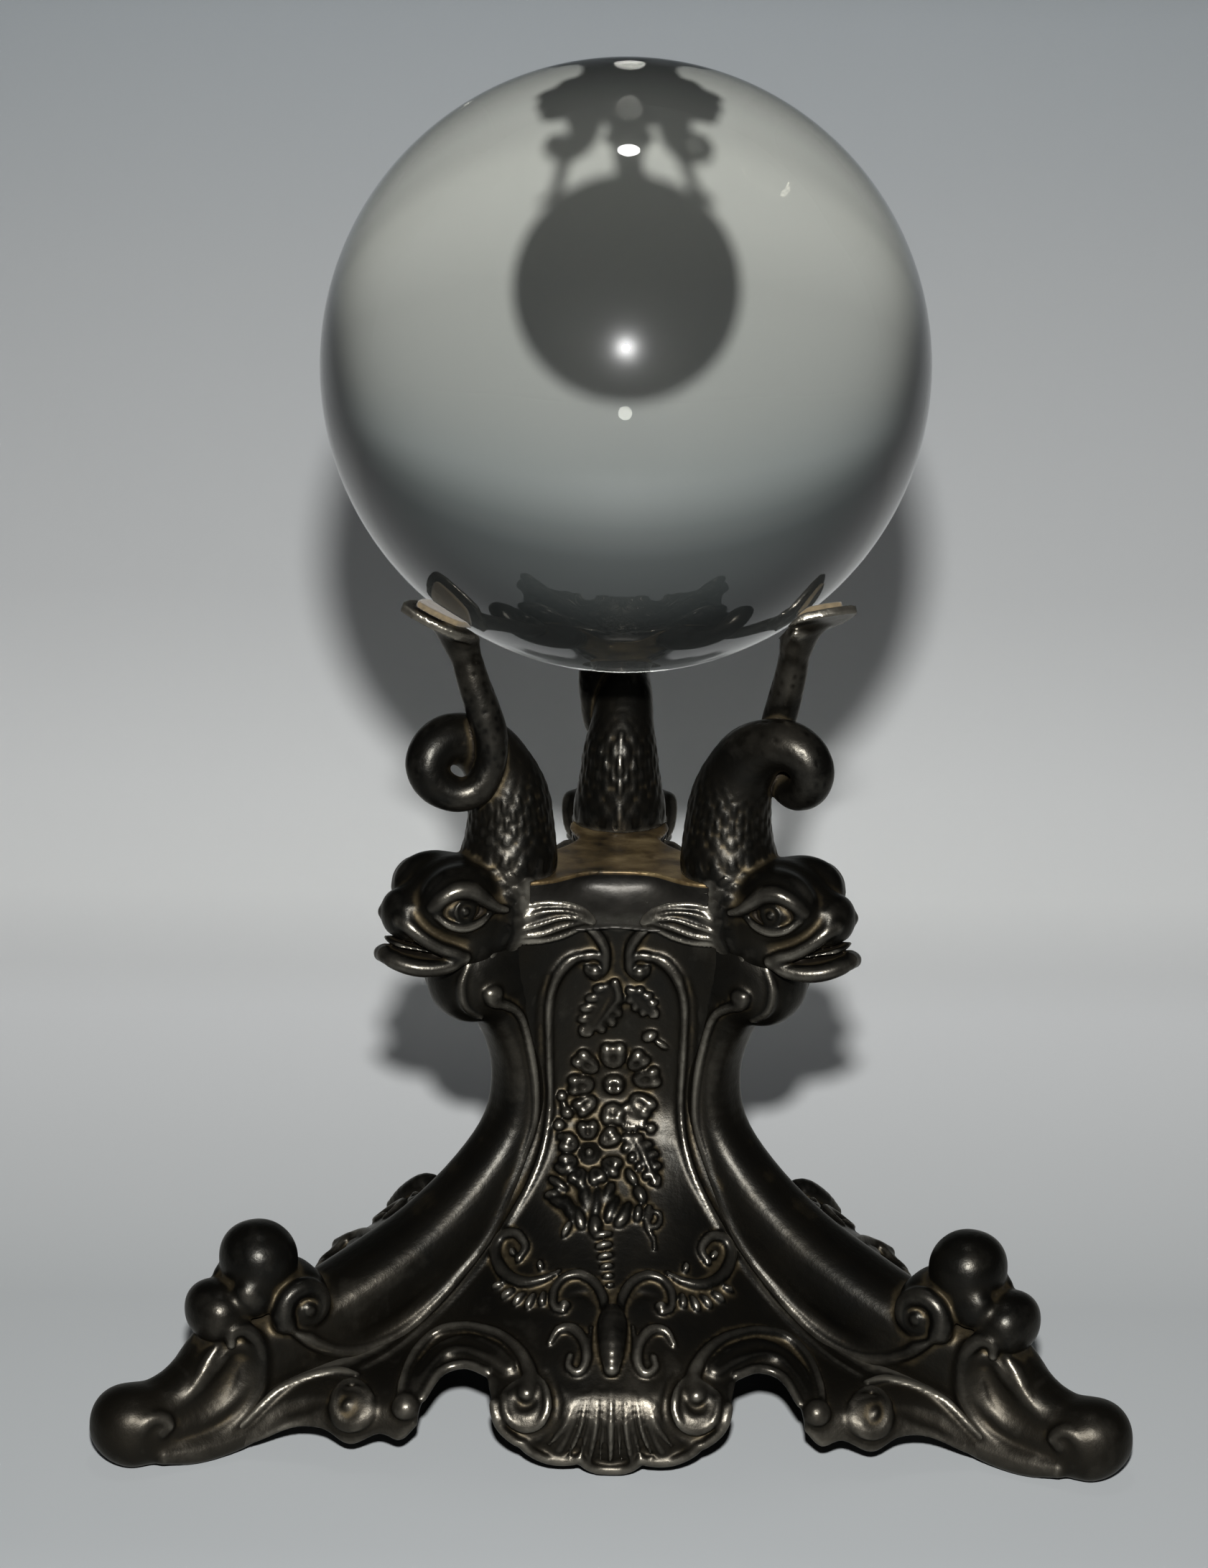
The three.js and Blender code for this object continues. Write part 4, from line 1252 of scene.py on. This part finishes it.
class Nodes:
    """A small helper that adds and links the nodes of one material."""

    def __init__(self, name):
        self.material = bpy.data.materials.new(name)
        self.material.use_nodes = True
        self.tree = self.material.node_tree
        self.shader = self.tree.nodes["Principled BSDF"]

    def add(self, kind, inputs=None, **settings):
        node = self.tree.nodes.new(kind)
        for key, value in settings.items():
            setattr(node, key, value)
        for key, value in (inputs or {}).items():
            self.set(node, key, value)
        return node

    def set(self, node, key, value):
        if isinstance(value, bpy.types.NodeSocket):
            self.tree.links.new(value, node.inputs[key])
        else:
            node.inputs[key].default_value = value

    def finish(self, **values):
        """Sets the shader's sockets, with _ for a space in their names, and returns the material."""
        for key, value in values.items():
            self.set(self.shader, key.replace("_", " "), value)
        return self.material

    def bump(self, height, strength, distance):
        settings = {"Height": height, "Strength": strength, "Distance": distance}
        return self.add("ShaderNodeBump", settings).outputs["Normal"]

    def grey_ramp(self, factor, stops):
        return self.ramp(factor, [(position, (level,) * 3) for position, level in stops])

    def ramp(self, factor, stops):
        node = self.add("ShaderNodeValToRGB", {"Fac": factor})
        elements = node.color_ramp.elements
        while len(elements) < len(stops):
            elements.new(0.5)
        for element, (position, colour) in zip(elements, stops):
            element.position = position
            element.color = (*colour, 1)
        return node.outputs["Color"]

    def math(self, operation, a, b=0.0, c=0.0):
        node = self.add("ShaderNodeMath", operation=operation)
        for i, value in enumerate((a, b, c)):
            self.set(node, i, value)
        return node.outputs[0]

    def mix(self, factor, a, b):
        node = self.add("ShaderNodeMix", {"Factor": factor}, data_type="RGBA")
        self.set(node, 6, a)
        self.set(node, 7, b)
        return node.outputs[2]

    def noise(self, scale, detail=4.0, roughness=0.5):
        place = self.add("ShaderNodeTexCoord").outputs["Object"]
        settings = {"Vector": place, "Scale": scale, "Detail": detail, "Roughness": roughness}
        return self.add("ShaderNodeTexNoise", settings).outputs["Fac"]

    def object_axes(self):
        place = self.add("ShaderNodeTexCoord").outputs["Object"]
        return self.add("ShaderNodeSeparateXYZ", {"Vector": place}).outputs


def cast_metal():
    """Dark oxidised casting: pale on high spots, partly wear and partly a painted highlight; brown patina in
    the hollows; near black between; and near black again in the deepest creases, partly dirt and partly
    painted shade.
    """
    n = Nodes("oxidised_casting")
    fine = n.add("ShaderNodeAttribute", attribute_name="wear_and_shading_fine").outputs["Fac"]
    broad = n.add("ShaderNodeAttribute", attribute_name="wear_and_shading_broad").outputs["Fac"]
    mottle = n.noise(160, 5, 0.6)
    blotch = n.noise(38, 3, 0.5)
    height = n.math("MULTIPLY_ADD", fine, 1.05, n.math("MULTIPLY", broad, 0.3))
    height = n.math("ADD", height, n.math("MULTIPLY_ADD", mottle, 0.4, -0.2))
    height = n.math("ADD", height, n.math("MULTIPLY_ADD", blotch, 0.5, -0.25))
    level = n.math("MULTIPLY_ADD", height, 0.9, 0.5)
    # painted shade and highlight: the lowest stop darkens the deepest creases, partly dirt and partly the
    # shade in them; the two highest stops lighten high spots, partly wear and partly their highlight
    colour = n.ramp(level, [
        (0.1, (0.008, 0.006, 0.004)),
        (0.3, (0.034, 0.026, 0.014)),
        (0.43, (0.0085, 0.0074, 0.0054)),
        (0.6, (0.0065, 0.0062, 0.0052)),
        (0.77, (0.036, 0.033, 0.027)),
        (0.95, (0.13, 0.121, 0.1)),
    ])
    roughness = n.grey_ramp(level, [(0.2, 0.62), (0.42, 0.42), (0.56, 0.33), (0.8, 0.27)])
    roughness = n.math("ADD", roughness, n.math("MULTIPLY_ADD", mottle, 0.14, -0.07))
    # dust lies in patches, and all over the lowest centimetre
    low = n.grey_ramp(n.object_axes()["Z"], [(0.011, 0.5), (0.02, 0)])
    dust = n.math("MAXIMUM", n.grey_ramp(blotch, [(0.46, 0), (0.66, 0.55)]), low)
    colour = n.mix(dust, colour, n.mix(0.4, colour, (0.028, 0.022, 0.0135, 1)))
    return n.finish(
        Base_Color=colour,
        Roughness=n.math("MULTIPLY_ADD", low, 0.16, roughness),
        Metallic=0.85,
        Specular_Tint=(0.7, 0.69, 0.66, 1),
        Normal=n.bump(n.noise(520, 5, 0.65), 0.3, 0.0003),
    )


def deck_gold_top():
    """The deck's flat top is brownish gold over dark metal, much lighter than its dark sides."""
    n = Nodes("deck_gold_top")
    mottle = n.noise(120, 6, 0.65)
    gold = [(0.32, (0.02, 0.015, 0.009)), (0.5, (0.1, 0.068, 0.03)), (0.68, (0.2, 0.15, 0.075))]
    top = n.ramp(mottle, gold)
    side = n.ramp(mottle, [(0.35, (0.014, 0.013, 0.011)), (0.7, (0.026, 0.024, 0.02))])
    flat = n.math("GREATER_THAN", n.object_axes()["Z"], (DECK_TOP_Z - 0.7) * MM)
    return n.finish(
        Base_Color=n.mix(flat, side, top),
        Roughness=n.math("MULTIPLY_ADD", mottle, 0.3, 0.32),
        Metallic=0.8,
        Normal=n.bump(n.noise(300, 5, 0.6), 0.35, 0.0004),
    )


def clear_glass():
    """Slightly warm glass with a faint film of dust and grease."""
    n = Nodes("clear_glass")
    return n.finish(
        Base_Color=(0.87, 0.88, 0.81, 1),
        Roughness=n.math("MULTIPLY", n.noise(30, 2), 0.006),
        Coat_Weight=0.05,
        Coat_Roughness=0.2,
        IOR=1.5,
        Transmission_Weight=1.0,
    )


def tan_felt():
    n = Nodes("tan_felt")
    fibre = n.noise(900, 6, 0.7)
    return n.finish(
        Base_Color=n.ramp(fibre, [(0.3, (0.036, 0.026, 0.012)), (0.7, (0.08, 0.058, 0.028))]),
        Roughness=0.92,
        Sheen_Weight=0.1,
        Normal=n.bump(fibre, 0.6, 0.0003),
    )


def plain_steel():
    n = Nodes("plain_steel")
    grain = n.noise(700, 3, 0.6)
    return n.finish(
        Base_Color=n.ramp(grain, [(0.3, (0.36, 0.36, 0.35)), (0.7, (0.56, 0.56, 0.55))]),
        Roughness=n.math("MULTIPLY_ADD", grain, 0.2, 0.25),
        Metallic=1.0,
    )


# ---------------------------------------------------------------- pieces


def add_object(name, data):
    made = bpy.data.objects.new(name, data)
    bpy.context.scene.collection.objects.link(made)
    return made


def place_piece(mesh, name, material, azimuth, body, slot, *nodes):
    """Puts a mesh in its place as a piece of a body, instead of the CAD nodes that it stands for."""
    piece = add_object(name, mesh)
    piece.matrix_world = Matrix.Translation(AXIS) @ Matrix.Rotation(math.radians(azimuth), 4, "Z")
    if not mesh.materials:
        mesh.materials.append(material)
    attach(piece, body)
    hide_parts(*nodes)
    return piece


def ball_piece(material):
    mesh = bpy.data.meshes.new("ball")
    shape = bmesh.new()
    bmesh.ops.create_icosphere(shape, subdivisions=7, radius=BALL_RADIUS * MM)
    for face in shape.faces:
        face.smooth = True
    shape.to_mesh(mesh)
    shape.free()
    mesh.transform(Matrix.Translation((0, 0, BALL_CENTRE_Z * MM)))
    return place_piece(mesh, "ball_glass", material, 0, "sphere", "glass", "crystal_sphere")


def build_object():
    metal, felt, steel = cast_metal(), tan_felt(), plain_steel()
    ball_piece(clear_glass())
    place_piece(deck_mesh(), "deck_casting", deck_gold_top(), 0, "stand", "cast_metal", "deck_plate")
    leg, dolphin, pad, panel = leg_mesh(), dolphin_mesh(), felt_mesh(), panel_mesh()
    for side, azimuth in LEG_AZIMUTHS.items():
        for kind, mesh in (("leg", leg), ("dolphin", dolphin)):
            names = f"{kind}_casting_{side}", f"{kind}_{side}"
            place_piece(mesh, names[0], metal, azimuth, "stand", "cast_metal", names[1])
        piece = place_piece(pad, f"felt_pad_{side}", felt, azimuth, "stand", "felt", f"tail_felt_{side}")
        for kind in ("screw", "washer"):
            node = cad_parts[f"dolphin_{kind}_{side}"]
            node.data.materials.clear()
            node.data.materials.append(steel)
    for side, azimuth in PANEL_AZIMUTHS.items():
        place_piece(panel, f"panel_casting_{side}", metal, azimuth, "stand", "cast_metal", f"panel_{side}")


# ---------------------------------------------------------------- stage, lights and camera

CAMERA_PLACE = (0, -610.7, 274.3)
CAMERA_PITCH = 14.663
CAMERA_YAW = -0.277
CAMERA_ROLL = 0.734
CAMERA_LENS = 77.9
FLASH_HEIGHT = 0.078  # above the camera
FLASH_POWER = 52


def add_camera():
    data = bpy.data.cameras.new("camera")
    data.lens = CAMERA_LENS
    data.sensor_width = 36
    data.sensor_fit = "AUTO"
    data.clip_start = 0.01
    camera = add_object("camera", data)
    pitch, yaw, roll = (math.radians(a) for a in (CAMERA_PITCH, CAMERA_YAW, CAMERA_ROLL))
    forward = Vector((math.sin(yaw) * math.cos(pitch), math.cos(yaw) * math.cos(pitch), -math.sin(pitch)))
    level = forward.cross(Vector((0, 0, 1))).normalized()
    above = level.cross(forward)
    right = level * math.cos(roll) + above * math.sin(roll)
    up = above * math.cos(roll) - level * math.sin(roll)
    place = AXIS + Vector(CAMERA_PLACE) * MM
    axes = Matrix((right, up, -forward)).transposed().to_4x4()
    camera.matrix_world = Matrix.Translation(place) @ axes
    bpy.context.scene.camera = camera


def stage_material():
    """Paper whose colour is painted light: greyer near the front and at the top than on the sweep behind the
    object, as the light falls off.
    """
    n = Nodes("backdrop_painted_light")
    axes = n.object_axes()
    along = n.math("ADD", axes["Y"], axes["Z"])
    # painted light: this ramp paints the fall-off of the light over the floor, the sweep and the top into the
    # paper's colour
    painted_light_tone = n.ramp(n.math("DIVIDE", n.math("ADD", along, 0.2), 1.6), [
        (0.06, (0.222, 0.232, 0.235)),
        (0.125, (0.28, 0.29, 0.292)),
        (0.18, (0.44, 0.45, 0.45)),
        (0.24, (0.64, 0.65, 0.65)),
        (0.3, (0.72, 0.73, 0.72)),
        (0.35, (0.66, 0.67, 0.665)),
        (0.44, (0.51, 0.52, 0.52)),
        (0.57, (0.42, 0.435, 0.44)),
        (0.67, (0.34, 0.365, 0.38)),
        (0.7, (0.28, 0.304, 0.316)),
        (0.75, (0.16, 0.177, 0.186)),
        (0.81, (0.08, 0.091, 0.097)),
        (1.0, (0.03, 0.035, 0.038)),
    ])
    n.finish(Base_Color=painted_light_tone, Roughness=0.6, Specular_IOR_Level=0.2)
    # one-sided, so that it hides nothing from behind
    clear = n.add("ShaderNodeBsdfTransparent").outputs[0]
    back = n.add("ShaderNodeNewGeometry").outputs["Backfacing"]
    mixed = n.add("ShaderNodeMixShader", {0: back, 1: n.shader.outputs[0], 2: clear})
    n.set(n.tree.nodes["Material Output"], "Surface", mixed.outputs[0])
    return n.material


def add_stage():
    """A pale floor that sweeps up behind the object."""
    half_width, back, bend, top, front, steps = 2.2, 0.72, 0.5, 1.6, -2.2, 32
    profile = [(front, 0.0), (back - bend, 0.0)]
    for i in range(1, steps + 1):
        angle = math.radians(90 * i / steps)
        profile.append((back - bend + bend * math.sin(angle), bend - bend * math.cos(angle)))
    profile.append((back, top))
    verts = []
    for y, z in profile:
        verts += [(-half_width, y, z), (half_width, y, z)]
    faces = [(2 * i, 2 * i + 1, 2 * i + 3, 2 * i + 2) for i in range(len(profile) - 1)]
    mesh = bpy.data.meshes.new("backdrop")
    mesh.from_pydata(verts, [], faces)
    for face in mesh.polygons:
        face.use_smooth = True
    mesh.materials.append(stage_material())
    add_object("backdrop", mesh)


def add_lights():
    """A small flash above the camera, an overhead softbox and a low fill all round."""
    spot = bpy.data.lights.new("flash", "SPOT")
    spot.energy = FLASH_POWER
    spot.shadow_soft_size = 0.012
    spot.spot_size = math.radians(80)
    spot.spot_blend = 0.9
    flash = add_object("flash", spot)
    flash.location = AXIS + Vector(CAMERA_PLACE) * MM + Vector((0, 0, FLASH_HEIGHT))
    aim = AXIS + Vector((0, 0, 0.13)) - flash.location
    flash.rotation_euler = aim.to_track_quat("-Z", "Y").to_euler()
    disk = bpy.data.lights.new("soft_top", "AREA")
    disk.shape = "DISK"
    disk.size = 0.11
    disk.energy = 0.7
    add_object("soft_top", disk).location = (0, 0, 1.25)
    world = bpy.data.worlds.new("studio")
    world.use_nodes = True
    background = world.node_tree.nodes["Background"].inputs
    background["Color"].default_value = (0.8, 0.84, 0.9, 1)
    background["Strength"].default_value = 0.05
    bpy.context.scene.world = world
    bpy.context.scene.view_settings.view_transform = "Standard"


add_camera()
add_stage()
add_lights()
build_object()
